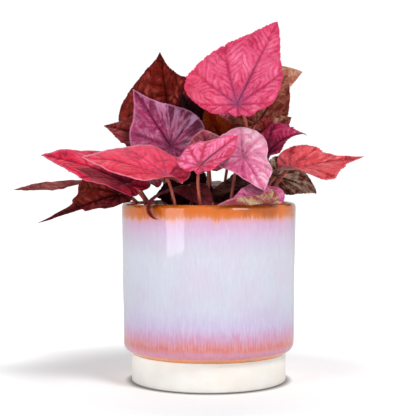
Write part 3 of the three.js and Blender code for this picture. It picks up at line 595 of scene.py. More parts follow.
leaves = {
    "01": leafOf("rosePink", "crown", (23.8, -30, 237), (59.5, 6, 309), (-0.15, -1, 0.3), (22, -4),
        fold=(9, 12, 4, 6), curl=(10, 20), ruffle=(0.02, 7, 0.4), rise=(0.1, 0, 1),
        enter=(-0.6, -0.3, 0.75)),
    "02": leafOf("brick", "tall", (-33.5, 26, 221), (-43.7, 50, 287.5), (-0.45, -1, 0.3), (-18, 20),
        fold=(10, 14, 10, 14), bend=8, curl=(20, 15), ruffle=(0.02, 6, 1.2)),
    "03": leafOf("silverPlum", "shield", (-32, -12, 201.5), (-66, 10, 252), (-0.3, -0.9, 0.35), (-22, -8),
        fold=(14, 18, 10, 10), bend=6, curl=(20, 30), ruffle=(0.02, 5, 2.2)),
    "04": leafOf("coralPink", "broad", (-34, -62, 176.5), (-102.5, -70, 193.4), (-0.15, -0.53, 0.85),
        (-24, -57.5), fold=(40, 16, -14, 6), bend=14, curl=(20, 24), ruffle=(0.02, 5, 0.2)),
    "05": leafOf("crimsonPlum", "broad", (-68.5, -50, 171), (-137.7, -50, 193.4), (0.1, -0.46, 0.88),
        (-44, -33), fold=(20, 6, 4, 6), bend=28, curl=(14, 14), ruffle=(0.015, 5, 1.6),
        rise=(-0.05, -0.05, 1), enter=(-0.8, -0.5, 0.3)),
    "06": leafOf("brightPink", "small", (-7, -67, 185.3), (24, -52, 209), (-0.1, -0.72, 0.7), (-4, -54),
        fold=(16, 22, 12, 18), curl=(26, 26), ruffle=(0.03, 6, 0.8)),
    "07": leafOf("pearlPink", "round", (28, -50, 192.7), (45, -66, 165.3), (0.15, -0.85, 0.4), (16, -40),
        curl=(24, 24), ruffle=(0.03, 4, 0.6)),
    "08": leafOf("redCoral", "wing", (67, -24, 182), (129.3, -35, 193.6), (-0.05, -0.78, 0.62), (40, -12),
        fold=(6, 64, 6, -4), bend=-8, curl=(16, 10), ruffle=(0.02, 5, 2.6)),
    "09": leafOf("oliveBrown", "broad", (58, -4, 176), (92, -12, 161.5), (0.15, 0.85, 0.5), (46, 6),
        fold=(14, 24, 20, 20), bend=20, hook=30, curl=(30, 20), ruffle=(0.05, 6, 0.5)),
    "10": leafOf("deepMagenta", "sliver", (50, 6, 193), (86.5, 12, 213), (-0.55, -0.75, 0.5), (42, 14),
        fold=(20, 30, 20, 20), bend=60, hook=30, ruffle=(0.06, 7, 3.6)),
    "11": leafOf("tanMaroon", "oblique", (43, 27, 222), (70, 27, 266), (0.35, 0.95, 0.2), (29, 26),
        fold=(8, 8, 6, 6), ruffle=(0.02, 6, 0.5)),
    "12": leafOf("tanRose", "broad", (47, 40, 254), (84.6, 46, 269.7), (0.2, 0.8, 0.5), (32, 42),
        fold=(12, 12, 8, 8), bend=6, ruffle=(0.02, 6, 0.5), rise=(0, 0, 1), enter=(0.2, -0.1, 1)),
    "13": leafOf("amber", "broad", (14, -2, 203), (-3, 4, 236), (-0.3, 0.9, 0.2), (8, -14),
        fold=(8, 8, 6, 6), bend=8, curl=(14, 14), ruffle=(0.02, 6, 0.5)),
    "14": leafOf("blackMaroon", "broad", (-8, 4, 215), (-25.5, 10, 249), (0.3, -0.9, 0.3), (-6, 4),
        fold=(12, 12, 8, 8), bend=8, curl=(14, 14), ruffle=(0.04, 7, 0.5)),
    "15": leafOf("lilacPink", "trough", (50, -66, 155), (6.6, -78, 152.5), (0, -0.2, 0.98), (37, -30),
        fold=(75, 35, 60, 35), bend=6, ruffle=(0.02, 5, 0.5), rise=(0, 0, 1), enter=(0.3, -0.8, -0.65)),
    "16": leafOf("wine", "clawed", (-18, -40, 170), (-41, -66.5, 143), (-0.74, 0, 0.67), (-20, -30),
        fold=(-75, 10, -20, 20), hook=150, ruffle=(0.03, 5, 0.5)),
    "17": leafOf("wine", "tailed", (-75, -36, 162), (-140.6, -50, 138), (-0.2, -0.85, 0.5), (-46, -20),
        fold=(14, 24, 4, 4), ruffle=(0.02, 5, 0.5), rise=(-0.2, -0.1, 1), enter=(-0.85, -0.3, 0.1),
        jag=0.2),
    "18": leafOf("dustyWine", "ribbon", (-98.7, -16, 174), (-163.3, -30, 165.4), (0, 0.1, 1), (-46, -6),
        fold=(10, 10, 20, 20), bend=-20, twist=30, ruffle=(0.02, 5, 0.5), rise=(-0.2, 0, 1),
        enter=(-0.9, -0.2, 0.2)),
    "19": leafOf("wine", "broad", (-53.2, 14, 210), (-92.5, 22, 220.2), (0.1, -0.75, 0.6), (-34, 6),
        ruffle=(0.05, 7, 0.5)),
    "20": leafOf("creamWine", "oblique", (50, 19, 215), (73, 21, 228), (0.3, -0.9, 0.4), (49, 20),
        ruffle=(0.05, 6, 0.5), rise=(0, 0, 1), enter=(0.1, -0.1, 1)),
    "21": leafOf("dustyRose", "blunt", (-1, -36, 189), (-5, -30, 215.5), (0, -0.9, 0.4), (0, -36),
        bend=24, curl=(20, 20)),
    "22": leafOf("darkOlive", "broad", (33, -24, 167), (-1, -29, 157), (0.1, 0.9, 0.4), (36, -14),
        bend=12, ruffle=(0.04, 6, 0.5)),
    "23": leafOf("blackMaroon", "oblique", (-9, -17, 168), (-46, -17, 159), (0.1, 0.9, 0.3), (-10, -12),
        fold=(6, 6, 4, 4), bend=8, curl=(6, 6), ruffle=(0.04, 6, 0.5)),
    "24": leafOf("rosePink", "oblique", (-2, 52, 212), (16, 106, 252), (-0.1, -0.3, 0.9), (4, 34),
        bend=34),
    "25": leafOf("silverPlum", "oblique", (-42, 60, 198), (-72, 116, 216), (0.2, 0.1, 0.9), (-26, 38),
        bend=34),
    "26": leafOf("coralPink", "broad", (-66, 30, 175), (-128, 56, 179), (0, 0.15, 0.95), (-42, 18),
        bend=34),
    "27": leafOf("redCoral", "oblique", (56, 54, 177), (102, 100, 178), (0, 0.1, 0.95), (36, 34),
        bend=34),
    "28": leafOf("wine", "broad", (-15, 66, 165.5), (-33, 131, 155), (0.1, 0.1, 0.97), (-8, 44), bend=40),
}

blade = {
    "thickness": 0.62, "edgeThickness": 0.34,
    "veinAngles": (-150, -108, -68, -31, 0, 34, 72, 114, 152),
    "sway": 10.0,  # degrees that the main veins lean towards the tip on their way out
    "slant": 0.84,  # run of the side veins outwards for each step sideways
    "groove": 0.4, "grooveWidth": 1.1, "flushReach": (-0.1, 0.6),
    "stepAlong": 1.35, "stepAcross": 0.95, "leastRings": 14, "edgeSteps": 1440,
    "toothPitch": 2.9, "lobePitch": 10.0, "toothReach": 12, "rising": 0.74,
    "midribSteps": 12, "leastCurl": 0.01,
    # swellings between the side veins: the shares of even and uneven ones, how wide a strip beside
    # the main veins stays flat, and how wide a strip where two fans of side veins meet
    "even": 0.55, "uneven": 0.55, "flatStrip": (0.3, 2.6), "flatShare": 0.12, "meeting": 3.5,
    # seeded roughness: step of the seed, cell and height
    "grains": dict(warp=(0, 13, 0.75), warpFine=(30, 5, 0.3), strength=(70, 9, 0.45),
                   pebble=(80, 2.6, 0.16), sag=(90, 15, 1), edge=(95, 5, 0.5)),
    # how often the patterns of the colour come in a centimetre
    "scales": dict(blotch=0.9, streak=1.1, crease=1.0, patch=1.9, mottle=6.5, fine=17.0,
                   paintedGlint=9.0, cell=8.0),
}


def edgeReach(outline, degrees):  # a cubic through the outline's distances, on each side
    reach = np.empty_like(degrees)
    knot = np.arange(len(outlineAngles))
    low = np.maximum(knot - 1, 0)
    high = np.minimum(knot + 1, knot[-1])
    left, right, sinus, point = outline
    for side, chosen in ((left, degrees >= 0), (right, degrees < 0)):
        knots = np.array([1.0, *side, sinus])
        slope = (knots[high] - knots[low]) / (outlineAngles[high] - outlineAngles[low])
        slope[0] *= point
        angle = np.minimum(np.abs(degrees[chosen]), 180)
        k = np.clip(np.searchsorted(outlineAngles, angle) - 1, 0, knot[-1] - 1)
        span = outlineAngles[k + 1] - outlineAngles[k]
        t = (angle - outlineAngles[k]) / span
        reach[chosen] = ((2 * t**3 - 3 * t**2 + 1) * knots[k] + (t**3 - 2 * t**2 + t) * span * slope[k]
                         + (3 * t**2 - 2 * t**3) * knots[k + 1] + (t**3 - t**2) * span * slope[k + 1])
    return reach


def midribTurn(leaf, part):
    return np.radians(leaf["bend"] * part + leaf["hook"] * np.maximum(part, 0) ** 4)


def midribPoint(leaf, part):
    x = np.zeros_like(part)
    y = np.zeros_like(part)
    steps = blade["midribSteps"]
    for i in range(steps):
        turn = midribTurn(leaf, part * (i + 0.5) / steps)
        x += part / steps * np.cos(turn)
        y -= part / steps * np.sin(turn)
    return x, y


def unit(vector):
    return vector / np.linalg.norm(vector)


def bladeAxes(leaf):  # forward, left and upward directions at the joint, and the midrib's length
    chord = np.array(leaf["tip"], float) - np.array(leaf["joint"], float)
    along = unit(chord)
    face = np.array(leaf["face"], float)
    up = unit(face - along * face.dot(along))
    x, y = midribPoint(leaf, np.array([1.0]))
    tilt = math.atan2(-y[0], x[0])
    forward = along * math.cos(tilt) + up * math.sin(tilt)
    upward = up * math.cos(tilt) - along * math.sin(tilt)
    return forward, np.cross(upward, forward), upward, np.linalg.norm(chord) / math.hypot(x[0], y[0])


def bladeSurface(leaf, a, b, part, angle, relief):  # points of the middle surface, as in the frame
    forward, left, upward, length = bladeAxes(leaf)
    progress = np.clip(a / length, 0, 1)
    side = np.where(b >= 0, 0, 1)
    atJoint, atTip = np.array(leaf["fold"][:2])[side], np.array(leaf["fold"][2:])[side]
    fold = np.radians(atJoint * (1 - progress) + atTip * progress)
    curls = np.maximum(np.array(leaf["curl"], float), blade["leastCurl"])
    curl = np.radians(curls[side]) / (length / 2)
    width = np.abs(b)
    across = np.sign(b) * (np.sin(fold) - np.sin(fold - curl * width)) / curl
    size, waves, phase = leaf["ruffle"]
    wave = size * length * part**3 * np.sin(waves * angle + phase)
    lift = (np.cos(fold - curl * width) - np.cos(fold)) / curl + wave + relief
    twist = np.radians(leaf["twist"]) * progress
    sideways = across * np.cos(twist) - lift * np.sin(twist)
    raised = across * np.sin(twist) + lift * np.cos(twist)
    turn = midribTurn(leaf, a / length)
    x, y = midribPoint(leaf, a / length)
    return (np.array(leaf["joint"], float)
            + np.outer(x * length + raised * np.sin(turn), forward)
            + np.outer(sideways, left)
            + np.outer(y * length + raised * np.cos(turn), upward))


def smooth(value, low, high):
    t = np.clip((value - low) / (high - low), 0, 1)
    return t * t * (3 - 2 * t)


def grain(seed, u, v):  # smooth seeded noise with one cell per unit, about -1 to 1
    rows, columns = 97, 89
    lattice = np.random.default_rng(seed).uniform(-1, 1, (rows, columns))
    i = np.floor(u).astype(int)
    j = np.floor(v).astype(int)
    s = smooth(u - i, 0, 1)
    t = smooth(v - j, 0, 1)
    i, nextRow = i % rows, (i + 1) % rows
    j, nextColumn = j % columns, (j + 1) % columns
    low = lattice[i, j] * (1 - s) + lattice[nextRow, j] * s
    high = lattice[i, nextColumn] * (1 - s) + lattice[nextRow, nextColumn] * s
    return low * (1 - t) + high * t


def edgeColumns(outline, length):  # angles an even step apart along the edge, one on each main vein
    fine = np.linspace(-180, 180, blade["edgeSteps"] + 1)
    reach = edgeReach(outline, fine) * length
    edge = np.stack([reach * np.cos(np.radians(fine)), reach * np.sin(np.radians(fine))], 1)
    run = np.concatenate([[0], np.cumsum(np.linalg.norm(np.diff(edge, axis=0), axis=1))])
    count = int(run[-1] / blade["stepAcross"])
    degrees = np.interp(np.linspace(0, run[-1], count, endpoint=False), run, fine)
    for angle in blade["veinAngles"]:
        degrees[np.argmin(np.abs(degrees - angle))] = angle
    return degrees, np.interp(degrees, fine, run), run[-1], run[blade["edgeSteps"] // 2]


def toothLine(degrees, run, total, tip, look, jag, seed):  # how far each tooth stands out
    fromSinus = np.where(degrees < 0, run, total - run)
    place = fromSinus / blade["toothPitch"] + 0.4 * np.sin(fromSinus / 4.3 + seed)
    index = np.floor(place).astype(int) + np.where(degrees < 0, 0, 97)
    f = place - np.floor(place)
    rising = blade["rising"]
    saw = np.where(f < rising, (f / rising) ** 0.85, (1 - f) / (1 - rising))
    size = np.random.default_rng(seed).uniform(0.3, 1.4, 400)[index % 400]
    g = fromSinus / blade["lobePitch"] + 0.3 * np.sin(fromSinus / 9 + 2 * seed)
    lobe = np.sin(np.pi * (g - np.floor(g))) ** 0.7 - 0.6
    fromTip = np.clip(np.abs(run - tip) / 8, 0.1, 1)
    return fromTip * (look["tooth"] * size * (saw - 0.45) + look["lobe"] * lobe) * jag


def bladeGrid(leaf, look, seed):
    outline = outlines[leaf["outline"]]
    length = bladeAxes(leaf)[3]
    degrees, run, total, tip = edgeColumns(outline, length)
    teeth = toothLine(degrees, run, total, tip, look, leaf["jag"], seed)
    rings = max(blade["leastRings"], round(length / blade["stepAlong"]))
    part = (np.arange(1, rings + 1) / rings)[:, None] * np.ones(len(degrees))

    def swayed(angles):
        return angles + blade["sway"] * np.sin(np.radians(angles)) * (1 - part)

    turned = np.clip(swayed(degrees), -180, 180)
    reach = edgeReach(outline, turned.ravel()).reshape(part.shape) * length * part
    reach = reach + teeth * part ** blade["toothReach"]
    angle = np.radians(turned)
    a = reach * np.cos(angle)
    b = reach * np.sin(angle)

    def rough(name):
        offset, cell, height = blade["grains"][name]
        return height * grain(seed + offset, a / cell, b / cell)

    # each point's place beside its nearest main vein, and between that vein's side veins
    veins = np.array(blade["veinAngles"], float)
    nearest = np.argmin(np.abs(degrees[:, None] - veins), axis=1)
    off = np.radians(turned - swayed(veins[nearest]))
    beside = reach * np.sin(off)
    gap = np.abs(beside)
    shift = np.random.default_rng(seed + 500).uniform(-0.5, 0.5, (len(veins), 2))
    rungs = (reach * np.cos(off) - blade["slant"] * gap) / look["rung"]
    rungs = rungs + shift[nearest[None, :], (beside > 0).astype(int)] + (rough("warp") + rough("warpFine"))
    # the two fans of side veins die out where they meet, halfway between the main veins
    around = np.array([veins[-1] - 360, *veins, veins[0] + 360])
    around = np.sort(np.abs(degrees[:, None] - around), axis=1)
    inside = smooth(np.radians(around[:, 1] - around[:, 0]) * reach, 0.0, blade["meeting"])
    even = 0.5 - 0.5 * np.cos(2 * np.pi * rungs) * inside
    uneven = 0.5 + 0.5 * grain(seed + 60, rungs * 2.3, gap / (0.9 * look["rung"]) + 11 * nearest) * inside
    swell = blade["even"] * even + blade["uneven"] * uneven
    flat = blade["flatShare"]
    swell = swell * (0.75 + rough("strength")) * (flat + (1 - flat) * smooth(gap, *blade["flatStrip"]))
    swell += rough("pebble") * smooth(part, 0.05, 0.2)
    swell *= 1 - 0.5 * smooth(part, 0.85, 1)
    groove = blade["groove"] * np.exp(-(gap / blade["grooveWidth"]) ** 2)
    relief = look["quilt"] * swell - groove * (1 - 0.7 * part)
    relief += look["sag"] * rough("sag") * smooth(part, 0, 0.3)
    relief += rough("edge") * part**4

    middle = bladeSurface(leaf, a.ravel(), b.ravel(), part.ravel(), angle.ravel(), relief.ravel())
    joint = bladeSurface(leaf, *(np.zeros(1) for _ in range(4)), np.array([-blade["groove"]]))
    everywhere = np.ones_like(part)
    layers = {"veinGap": gap, "midrib": (veins[nearest] == 0) * everywhere, "rungs": rungs, "swell": swell,
              "reachPart": part, "planeX": a, "planeY": b, "veinFan": nearest * everywhere}
    for layer in ("flush", "glow"):
        turn = np.radians(look[layer + "Turn"])
        layers[layer] = smooth((a * np.cos(turn) + b * np.sin(turn)) / length, *blade["flushReach"])
    layers = {layer: np.concatenate([[0], values.ravel()]) for layer, values in layers.items()}
    return np.vstack([joint, middle]), rings, len(degrees), layers


def bladeMesh(name, leaf, look, material):
    middle, rings, count, layers = bladeGrid(leaf, look, int(name))
    here = np.arange(count)
    after = (here + 1) % count
    centre = np.stack([np.zeros(count, int), 1 + here, 1 + after], 1)
    strip = np.stack([here, count + here, count + after, after], 1)
    quads = np.concatenate([strip + 1 + ring * count for ring in range(rings - 1)])
    halves = np.concatenate([quads[:, [0, 1, 2]], quads[:, [0, 2, 3]], centre])
    first, second, third = (middle[halves[:, corner]] for corner in range(3))
    normals = np.zeros_like(middle)
    for corner in range(3):
        np.add.at(normals, halves[:, corner], np.cross(second - first, third - first))
    normals /= np.linalg.norm(normals, axis=1)[:, None]

    taper = smooth(layers["reachPart"], 0.5, 1)
    half = 0.5 * (blade["thickness"] + (blade["edgeThickness"] - blade["thickness"]) * taper)
    offset = normals * half[:, None]
    size = len(middle)
    rim = 1 + (rings - 1) * count
    edge = np.stack([rim + here, rim + here + size, rim + after + size, rim + after], 1)
    faces = [shape for sheet in (centre, quads, centre[:, ::-1] + size, quads[:, ::-1] + size, edge)
             for shape in sheet.tolist()]
    piece = newPiece(f"leaf{name}Blade", np.vstack([middle + offset, middle - offset]) * mm, faces, material)

    # patterns read these: the blade laid flat, in centimetres, and apart for each leaf and side;
    # rays out from the joint; and streaks along the side veins
    both = {layer: np.tile(values, 2) for layer, values in layers.items()}
    x, y, fan = (both.pop(layer) for layer in ("planeX", "planeY", "veinFan"))
    both["upperSide"] = np.repeat([1.0, 0.0], size)
    plane = np.stack([x, y, 10 * (3 * both["upperSide"] + int(name))], 1) / 10
    away = np.hypot(plane[:, 0], plane[:, 1]) + 0.05
    rays = np.stack([4 * plane[:, 0] / away, 4 * plane[:, 1] / away, 0.35 * away + plane[:, 2]], 1)
    streaks = np.stack([6 * both["rungs"], 0.12 * both["veinGap"] + 5 * fan, plane[:, 2]], 1)
    for layer, values in {**both, "bladePlane": plane, "bladeRays": rays, "bladeStreaks": streaks}.items():
        kind, field = ("FLOAT", "value") if values.ndim == 1 else ("FLOAT_VECTOR", "vector")
        data = piece.data.attributes.new(layer, kind, "POINT").data
        data.foreach_set(field, values.astype(np.float32).ravel())
    return piece


def bladeFinish(name, look):
    material, shader = newMaterial(name, Roughness=look["gloss"], Specular_IOR_Level=look["shine"],
                                   Specular_Tint=linearColour(look["sheen"]))
    tree = shader.id_data
    plane, rays, streaks = (attribute(tree, "blade" + key, "Vector") for key in ("Plane", "Rays", "Streaks"))
    gap, swell, reach, midrib, rungs, flush, glow, upperSide = (attribute(tree, key) for key in (
        "veinGap", "swell", "reachPart", "midrib", "rungs", "flush", "glow", "upperSide"))
    scales = blade["scales"]
    blotch = noise(plane, scales["blotch"], 3)
    streak = noise(rays, scales["streak"], 3, 0.6)
    crease = noise(streaks, scales["crease"], 3, 0.65)
    patch = swung(streak, look["streaks"], noise(plane, scales["patch"], 3))
    mottle = noise(plane, scales["mottle"], 4, 0.65)
    fine = noise(plane, scales["fine"], 2, 0.6)
    paintedGlint = noise(plane, scales["paintedGlint"], 1)

    # veins, side veins and the tinted parts round the joint
    width = times(eased(reach, 0.0, 0.9, 1.0, 0.35), look["veinWidth"],
                  calc("MULTIPLY_ADD", midrib, 0.5, 0.65))
    mainVein = times(eased(calc("DIVIDE", swung(mottle, 1.0, gap), width), 0.55, 1.25, 1.0, 0.0),
                     eased(reach, 0.35, 0.85, 1.0, 0.15), eased(midrib, 0, 1, look["mains"], 1.0))
    sideVein = times(eased(calc("PINGPONG", rungs, 0.5), 0.02, 0.1, 1.0, 0.0),
                     eased(patch, 0.35, 0.6, 0.1, 0.9))
    halo = times(eased(gap, 0.4, 4.5, 1.0, 0.0), eased(reach, 0.15, 0.75, 1.0, 0.0), look["halo"])
    heart = times(eased(calc("MULTIPLY_ADD", mottle, 0.12, reach), 0.08, 0.36, 1.0, 0.0), look["hearting"])

    # tone follows the swellings, with noise for uneven colour: painted shade in the furrows, painted
    # highlight on the crests
    tone = swell
    for source, amount in ((mottle, 0.8), (crease, look["crease"]), (fine, 0.6), (blotch, 0.9)):
        tone = swung(source, amount, tone)
    furrow, hollows = look["furrow"], look["hollows"]
    upper = layered(
        mixed(eased(tone, furrow, furrow + 0.38), look["deep"], look["base"]),
        (times(eased(tone, 0.45, 1.1), 0.85), look["light"]),
        (times(eased(gap, 1.0, 5.0, 0.25, 1.0), eased(patch, 0.4, 0.68), look["silvering"]), look["silver"]),
        (times(flush, eased(streak, 0.42, 0.52, hollows, 0.0)), look["deep"]),
        (times(flush, eased(streak, 0.45, 0.58, 1 - hollows, 1.0), look["flushing"]), look["flush"]),
        (times(glow, look["glowing"]), look["glow"]),
        (calc("MAXIMUM", halo, heart), look["heart"]),
        (times(sideVein, look["sideVein"]), look["vein"]),
        (times(mainVein, 0.8), look["vein"]),
        (eased(reach, 0.94, 0.995, 0.0, 0.75), look["rim"]),
        # painted glints: pale flecks on the outer part of the upper side
        (times(eased(paintedGlint, 0.7, 0.76), eased(reach, 0.5, 0.9), 0.6), look["sheen"]))
    fading = calc("MULTIPLY_ADD", streak, 0.9, calc("MULTIPLY_ADD", mottle, 0.4, patch))
    below = layered(
        mixed(eased(fading, 0.92, 1.4), look["under"], look["underLight"]),
        (eased(fine, 0.35, 0.6, 0.45, 0.0), look["underVein"]),
        (times(sideVein, 0.8), look["underVein"]),
        (times(mainVein, 0.95), look["underVein"]))
    feed(shader, Base_Color=mixed(upperSide, below, upper))

    cells = putNode(tree, "ShaderNodeTexVoronoi", {"Vector": plane, "Scale": scales["cell"]},
                    feature="SMOOTH_F1").outputs[0]
    relief = mottle
    for source, amount in ((cells, -0.5), (fine, 0.35), (crease, 1.4), (sideVein, -0.25)):
        relief = calc("MULTIPLY_ADD", source, amount, relief)
    bumped(shader, relief, 0.8, 0.001)
    return material


def makeBlades():
    finishes = {}
    for name, leaf in leaves.items():
        kind = leaf["look"]
        if kind not in finishes:
            finishes[kind] = bladeFinish(kind + "Blade", looks[kind])
        piece = bladeMesh(name, leaf, looks[kind], finishes[kind])
        settle(piece, f"leaf_{name}_blade")


makeBlades()
print("blades made:", len(leaves))


# soil: the same top as the frame's solid, with crumbs strewn on it
soil = {
    "top": 141.0, "dome": 3.0, "lump": 1.3, "lumpFade": 8.0, "radius": 69.0, "gap": 0.3,
    "rings": 46, "segments": 150, "roughness": 0.8, "seed": 12,
    "crumbs": 2600, "crumbSize": 1.6, "crumbLeast": (0.3, 0.25, 0.2), "crumbMost": (1.7, 1.1, 0.8),
    "crumbTurn": (0.6, 0.6, 6.28), "crush": 3.0, "crushScale": 800.0,
    "ground": ("1d130e", "4a3426"), "fibre": "6e4c33",
}


def soilHeight(x, y):
    distance = np.hypot(x, y)
    dome = soil["dome"] * (1 - (distance / soil["radius"]) ** 2)
    large = np.sin(x * 0.19 + 1.3) * np.cos(y * 0.23 + 0.4)
    small = np.sin(x * 0.41 - y * 0.37)
    rim = np.clip((soil["radius"] - distance) / soil["lumpFade"], 0, 1)
    return soil["top"] + dome + soil["lump"] * rim * (large + 0.6 * small)


# stems: roots stand in the soil, tops meet the undersides of the blades
stem = {
    "rootRadius": 1.5, "topRadius": 1.15, "depth": 17.0, "rise": 0.42, "entry": 0.28, "lean": 0.35,
    "neck": (0.965, 0.35),  # where the top narrows, as a share of the way, and how much
    "points": 22, "sides": 14, "hairLength": 1.1, "hairLeast": 0.4, "hairMost": 1.3,
    "hairRadius": 0.06, "hairTip": 0.01, "hairTurn": (0.5, 0.5, 6.0),
    "hairDensity": 260000.0,  # for each square metre
    "low": "6c1e18", "high": "a63226", "patch": "b44c3a", "streak": "d08a70", "hair": "d9a79a",
}


def stemPath(leaf):
    forward, _, upward, _ = bladeAxes(leaf)
    x, y = leaf["root"]
    root = np.array([x, y, float(soilHeight(float(x), float(y))) - stem["depth"]])
    end = np.array(leaf["joint"], float)
    reach = np.linalg.norm(end - root)
    rise = leaf["rise"] or ((end[0] - x) * stem["lean"], (end[1] - y) * stem["lean"], reach)
    enter = leaf["enter"] or 0.7 * upward + 0.6 * forward
    second = root + unit(np.array(rise, float)) * reach * stem["rise"]
    third = end - unit(np.array(enter, float)) * reach * stem["entry"]
    t = np.linspace(0, 1, stem["points"])[:, None]
    path = (1 - t) ** 3 * root + 3 * (1 - t) ** 2 * t * second + 3 * (1 - t) * t**2 * third + t**3 * end
    path[-1] = end - upward * 0.25
    return path


def stemFlesh():
    material, shader = newMaterial("juicyStem", Roughness=0.38, Specular_IOR_Level=0.5)
    place = objectPlace(shader)
    streak = noise(stretched(place, (1, 1, 0.12)), 700, 3)
    colour = layered(
        mixed(eased(attribute(shader.id_data, "stemPart"), 0.25, 0.9), stem["low"], stem["high"]),
        (eased(noise(place, 35, 2), 0.4, 0.62), stem["patch"]),
        (eased(streak, 0.5, 0.75, 0.0, 0.5), stem["streak"]))
    feed(shader, Base_Color=colour)
    bumped(shader, streak, 0.3, 0.0004)
    return material


def stemTree(values):
    tree, start, end = newTree("hairyStem", values)
    part = putNode(tree, "GeometryNodeSplineParameter").outputs["Factor"]
    sizes = {0: part, 3: start["Root Radius"], 4: start["Top Radius"]}
    radius = putNode(tree, "ShaderNodeMapRange", sizes).outputs[0]
    marked = putGeometry(tree, "StoreNamedAttribute", {
        "Geometry": start["Geometry"], "Name": "stemPart", "Value": part}, data_type="FLOAT")
    ring = putGeometry(tree, "CurvePrimitiveCircle", {"Resolution": start["Sides"], "Radius": 1.0})
    neckFrom, neckWidth = stem["neck"]
    rod = putGeometry(tree, "CurveToMesh", {
        "Curve": marked, "Profile Curve": ring, "Fill Caps": True,
        "Scale": times(radius, eased(part, neckFrom, 1.0, 1.0, neckWidth))})
    rod = putGeometry(tree, "SetShadeSmooth", {"Geometry": rod})
    skin = putGeometry(tree, "SetMaterial", {"Geometry": rod, "Material": start["Flesh"]})
    scatter = putNode(tree, "GeometryNodeDistributePointsOnFaces", {
        "Mesh": rod, "Density": start["Hair Density"], "Seed": start["Seed"]}).outputs
    cone = putGeometry(tree, "MeshCone", {
        "Vertices": 3, "Radius Bottom": stem["hairRadius"] * mm, "Radius Top": stem["hairTip"] * mm,
        "Depth": start["Hair Length"]}, fill_type="NONE")
    sizes = {2: stem["hairLeast"], 3: stem["hairMost"], "Seed": start["Seed"]}
    size = putNode(tree, "FunctionNodeRandomValue", sizes, data_type="FLOAT").outputs[1]
    x, y, z = stem["hairTurn"]
    tilt = randomVector(tree, (-x, -y, 0), (x, y, z))
    turn = putNode(tree, "FunctionNodeRotateRotation", {0: scatter["Rotation"], 1: tilt},
                   rotation_space="LOCAL").outputs[0]
    hairs = strewn(tree, scatter[0], cone, turn, size)
    hairs = putGeometry(tree, "SetMaterial", {"Geometry": hairs, "Material": start["Hair"]})
    tree.links.new(joined(tree, hairs, skin), end)
    return tree


def makeStems():
    hair, _ = newMaterial("stemHair", Base_Color=linearColour(stem["hair"]), Roughness=0.5)
    values = {
        "Root Radius": stem["rootRadius"] * mm, "Top Radius": stem["topRadius"] * mm,
        "Sides": stem["sides"], "Hair Length": stem["hairLength"] * mm,
        "Hair Density": stem["hairDensity"], "Seed": 1, "Flesh": stemFlesh(), "Hair": hair,
    }
    tree = stemTree(values)
    for name, leaf in leaves.items():
        path = stemPath(leaf) * mm
        curve = bpy.data.curves.new(f"leaf{name}Stem", "CURVE")
        curve.dimensions = "3D"
        spline = curve.splines.new("POLY")
        spline.points.add(len(path) - 1)
        spline.points.foreach_set("co", np.hstack([path, np.ones((len(path), 1))]).ravel())
        piece = grown(linked(curve.name, curve), tree, {**values, "Seed": int(name)})
        settle(piece, f"leaf_{name}_stem")


makeStems()
print("stems made")


def soilMix():
    material, shader = newMaterial("pottingMix", Roughness=0.95, Specular_IOR_Level=0.2)
    place = objectPlace(shader)
    colour = layered(
        mixed(eased(noise(place, 420, 3, 0.7), 0.35, 0.7), *soil["ground"]),
        (eased(noise(place, 160, 2), 0.6, 0.72, 0.0, 0.7), soil["fibre"]))
    feed(shader, Base_Color=colour)
    bumped(shader, noise(place, 900, 4, 0.7), 0.8, 0.001)
    return material


def soilTree(values):
    tree, start, end = newTree("crumblySoil", values)
    facing = heightOf(putNode(tree, "GeometryNodeInputNormal").outputs[0])
    points = putGeometry(tree, "DistributePointsOnFaces", {
        "Mesh": start["Geometry"], "Selection": calc("GREATER_THAN", facing, 0.4),
        "Density": start["Crumb Density"], "Seed": start["Seed"]})
    crumb = putGeometry(tree, "MeshIcoSphere", {"Radius": start["Crumb Size"], "Subdivisions": 1})
    size = randomVector(tree, soil["crumbLeast"], soil["crumbMost"])
    x, y, z = soil["crumbTurn"]
    turn = randomVector(tree, (-x, -y, 0), (x, y, z))
    crumbs = strewn(tree, points, crumb, turn, size)
    place = putGeometry(tree, "InputPosition")
    waves = {"Vector": place, "Scale": soil["crushScale"], "Detail": 1.0}
    push = putNode(tree, "ShaderNodeTexNoise", waves).outputs[1]
    push = putNode(tree, "ShaderNodeVectorMath", {0: push, 1: (0.5, 0.5, 0.5)},
                   operation="SUBTRACT").outputs[0]
    push = putNode(tree, "ShaderNodeVectorMath", {0: push, "Scale": soil["crush"] * mm},
                   operation="SCALE").outputs[0]
    crumbs = putGeometry(tree, "SetPosition", {"Geometry": crumbs, "Offset": push})
    whole = joined(tree, crumbs, start["Geometry"])
    done = putGeometry(tree, "SetMaterial", {"Geometry": whole, "Material": start["Mix"]})
    tree.links.new(done, end)
    return tree


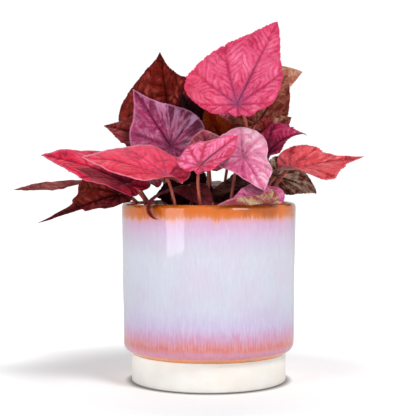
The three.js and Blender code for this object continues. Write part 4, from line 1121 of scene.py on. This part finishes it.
def makeSoil():
    inner = pot["topRadius"] - pot["wall"]
    edge = inner - soil["gap"]
    top = [(edge * part, soil["top"] + 1) for part in np.linspace(1, 0, soil["rings"])]
    points, faces = lathe([*potInside(soil["gap"])[::-1], (edge, soil["top"] - 0.5), *top], soil["segments"])
    onTop = points[:, 2] > soil["top"] + 0.5
    x, y = points[onTop, 0], points[onTop, 1]
    rough = soil["roughness"] * (grain(3, x / 4, y / 4) + 0.6 * grain(4, x / 2, y / 2))
    points[onTop, 2] = soilHeight(x, y) + smooth(inner - np.hypot(x, y), 0, 4) * rough
    points[-1, 2] = soilHeight(0.0, 0.0)
    values = {
        "Crumb Density": soil["crumbs"] / (math.pi * (inner * mm) ** 2),
        "Crumb Size": soil["crumbSize"] * mm, "Seed": soil["seed"], "Mix": soilMix(),
    }
    piece = newPiece("pottingSoil", points * mm, faces, values["Mix"], smooth=False)
    settle(grown(piece, soilTree(values), values), "soil")


makeSoil()
print("soil made")


# rhizome: the frame's knobs melted together, with scars
rhizome = {
    "voxel": 1.1, "smoothing": 14, "scars": 0.5, "skin": ("4a2a1c", "7d5436"), "scarColour": "a6553f",
}


def rhizomeBark():
    material, shader = newMaterial("rhizomeBark", Roughness=0.7, Specular_IOR_Level=0.3)
    place = objectPlace(shader)
    colour = layered(
        mixed(eased(noise(place, 120, 3), 0.35, 0.65), *rhizome["skin"]),
        (eased(noise(place, 420, 3), 0.55, 0.7, 0.0, 0.6), rhizome["scarColour"]))
    feed(shader, Base_Color=colour)
    bumped(shader, noise(place, 500, 4, 0.7), 0.6, 0.0008)
    return material


def makeRhizome():
    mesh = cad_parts["rhizome"].data.copy()
    mesh.materials.clear()
    mesh.materials.append(rhizomeBark())
    piece = linked("creepingRhizome", mesh)
    remesh = piece.modifiers.new("melt", "REMESH")
    remesh.mode = "VOXEL"
    remesh.voxel_size = rhizome["voxel"] * mm
    remesh.use_smooth_shade = True
    piece.modifiers.new("relax", "SMOOTH").iterations = rhizome["smoothing"]
    piece = applied(piece)
    points = np.array([vertex.co for vertex in piece.data.vertices], np.float32)
    normals = np.array([vertex.normal for vertex in piece.data.vertices])
    x, y = points[:, 0] / mm, points[:, 1] / mm
    scar = np.sin(x * 1.1 + 1.5 * np.sin(y * 0.4)) * np.sin(y * 0.9)
    points += normals * (scar * rhizome["scars"] * mm)[:, None]
    piece.data.vertices.foreach_set("co", points.ravel())
    piece.data.update()
    settle(piece, "rhizome")


makeRhizome()
print("rhizome made")

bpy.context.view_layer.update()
